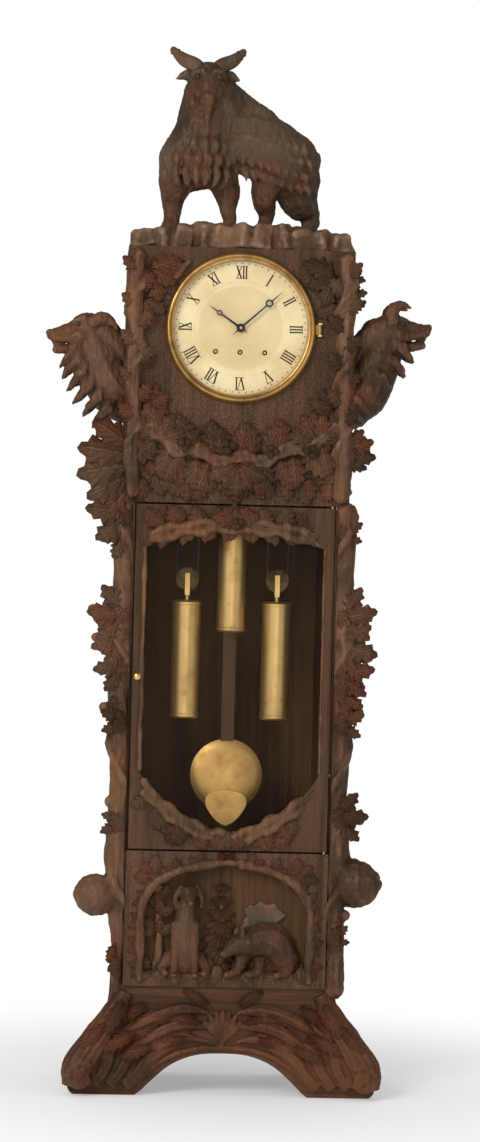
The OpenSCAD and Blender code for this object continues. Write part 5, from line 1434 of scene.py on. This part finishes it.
print("carried-over nodes")
finish = {
    boards: ["case_sides", "hood_boards", "trunk_floor", "trunk_door", "seat_cheeks"],
    groundBoards: ["hood_front", "pedestal_front"],
    redBoards: ["front_skirt"],
    darkBoards: ["back_boards", "recess_panel", "seat_board"],
    rodWalnut: ["pendulum_rod"],
    brass: ["hinge_pins", "door_knob", "movement_plates", "plate_pillars", "drum_left", "drum_centre",
            "drum_right", "great_wheel", "centre_wheel", "third_wheel", "escape_wheel", "hour_wheel",
            "motion_wheel", "pendulum_cock", "rating_nut"],
    bezelBrass: ["bezel"],
    bobBrass: ["pendulum_bob"],
    weightBrass: ["weight_left", "weight_centre", "weight_right"],
    # The pulleys' brass is darkened with painted shade
    shadedBrass: ["pulley_left", "pulley_centre", "pulley_right"],
    steel: ["anchor", "suspension_spring", "chime_rods", "hammer", "hour_hand", "minute_hand"],
    glass: ["door_glass"],
    dialGlass: ["dial_glass"],
    enamel: ["dial_plate"]}
for material, names in finish.items():
    for name in names:
        painted(nodes[name], material)

print("stage")
photo = {"width": 480, "height": 1142, "scale": 0.002072, "floorRow": 1098, "centreColumn": 234.5,
         "lean": 0.026}
view = {"distance": 6.5, "azimuth": -3.0, "height": 1.15, "sensor": 24}
level = {"soft": 0.62, "glossy": 0.24, "floorLift": 0.3, "fade": (0.35, 1.3)}
# Each lamp: its place, the height it aims at, its size and its watts
lamps = {"key": ((-2.8, -4.1, 3.3), 1.2, 2.0, 158), "fill": ((3.6, -3.4, 1.8), 1.0, 2.6, 16),
         "front": ((0.2, -5.2, 1.2), 1.1, 2.4, 30)}


# Pale floor with the clock's shadow, which fades into the white background
def floorMaterial():
    material, wire, place, shader = newMaterial("pale_floor", Roughness=0.9, Specular_IOR_Level=0.1)
    shader.inputs["Base Color"].default_value = (0.93, 0.93, 0.93, 1)
    far = wire.node("VectorMath", {"operation": "LENGTH"}, {0: place}, out="Value").step(*level["fade"])
    lift = level["floorLift"]
    seen = wire.node("LightPath", out="Is Camera Ray")
    white = wire.node("Emission", None, {"Color": (1, 1, 1, 1), "Strength": 1.0})
    lit = Wire(wire.tree, shader.outputs[0])
    both = wire.node("MixShader", None, {0: (far * (1 - lift) + lift) * seen, 1: lit, 2: white})
    wire.tree.links.new(both.socket, wire.tree.nodes["Material Output"].inputs["Surface"])
    return material


bpy.ops.mesh.primitive_plane_add(size=60, location=(0, 0, -0.0005))
floor = bpy.context.object
floor.name = "floor"
floor.data.materials.append(floorMaterial())

world = bpy.data.worlds.new("studio")
bpy.context.scene.world = world
world.use_nodes = True
sky = Wire(world.node_tree)
world.node_tree.nodes.clear()
soft, glossy, white = (sky.node("Background", None, {"Color": (1, 1, 1, 1), "Strength": strength})
                       for strength in (level["soft"], level["glossy"], 1.0))
mixed = sky.node("MixShader", None, {0: sky.node("LightPath", out="Is Glossy Ray"), 1: soft, 2: glossy})
mixed = sky.node("MixShader", None, {0: sky.node("LightPath", out="Is Camera Ray"), 1: mixed, 2: white})
output = world.node_tree.nodes.new("ShaderNodeOutputWorld")
world.node_tree.links.new(mixed.socket, output.inputs["Surface"])

for name, (place, aimZ, size, power) in lamps.items():
    data = bpy.data.lights.new(name, "AREA")
    data.size = size
    data.energy = power
    lamp = linked(name, data)
    lamp.location = place
    lamp.rotation_euler = (Vector((0, 0, aimZ)) - Vector(place)).to_track_quat("-Z", "Y").to_euler()

camera = linked("camera", bpy.data.cameras.new("camera"))
aim = Vector(((photo["width"] / 2 - photo["centreColumn"]) * photo["scale"], yHood,
              (photo["floorRow"] - photo["height"] / 2) * photo["scale"]))
azimuth = math.radians(view["azimuth"])
camera.location = (aim + Vector((math.sin(azimuth), -math.cos(azimuth), 0)) * view["distance"]
                   + Vector((0, 0, view["height"] - aim.z)))
look = (aim - camera.location).to_track_quat("-Z", "Y").to_matrix().to_4x4()
camera.rotation_euler = (look @ Matrix.Rotation(math.atan(photo["lean"]), 4, "Z")).to_euler()
camera.data.sensor_fit = "VERTICAL"
camera.data.sensor_height = view["sensor"]
camera.data.lens = view["sensor"] * (aim - camera.location).length / (photo["height"] * photo["scale"])
bpy.context.scene.camera = camera
bpy.context.scene.view_settings.view_transform = "Standard"

print("finish")
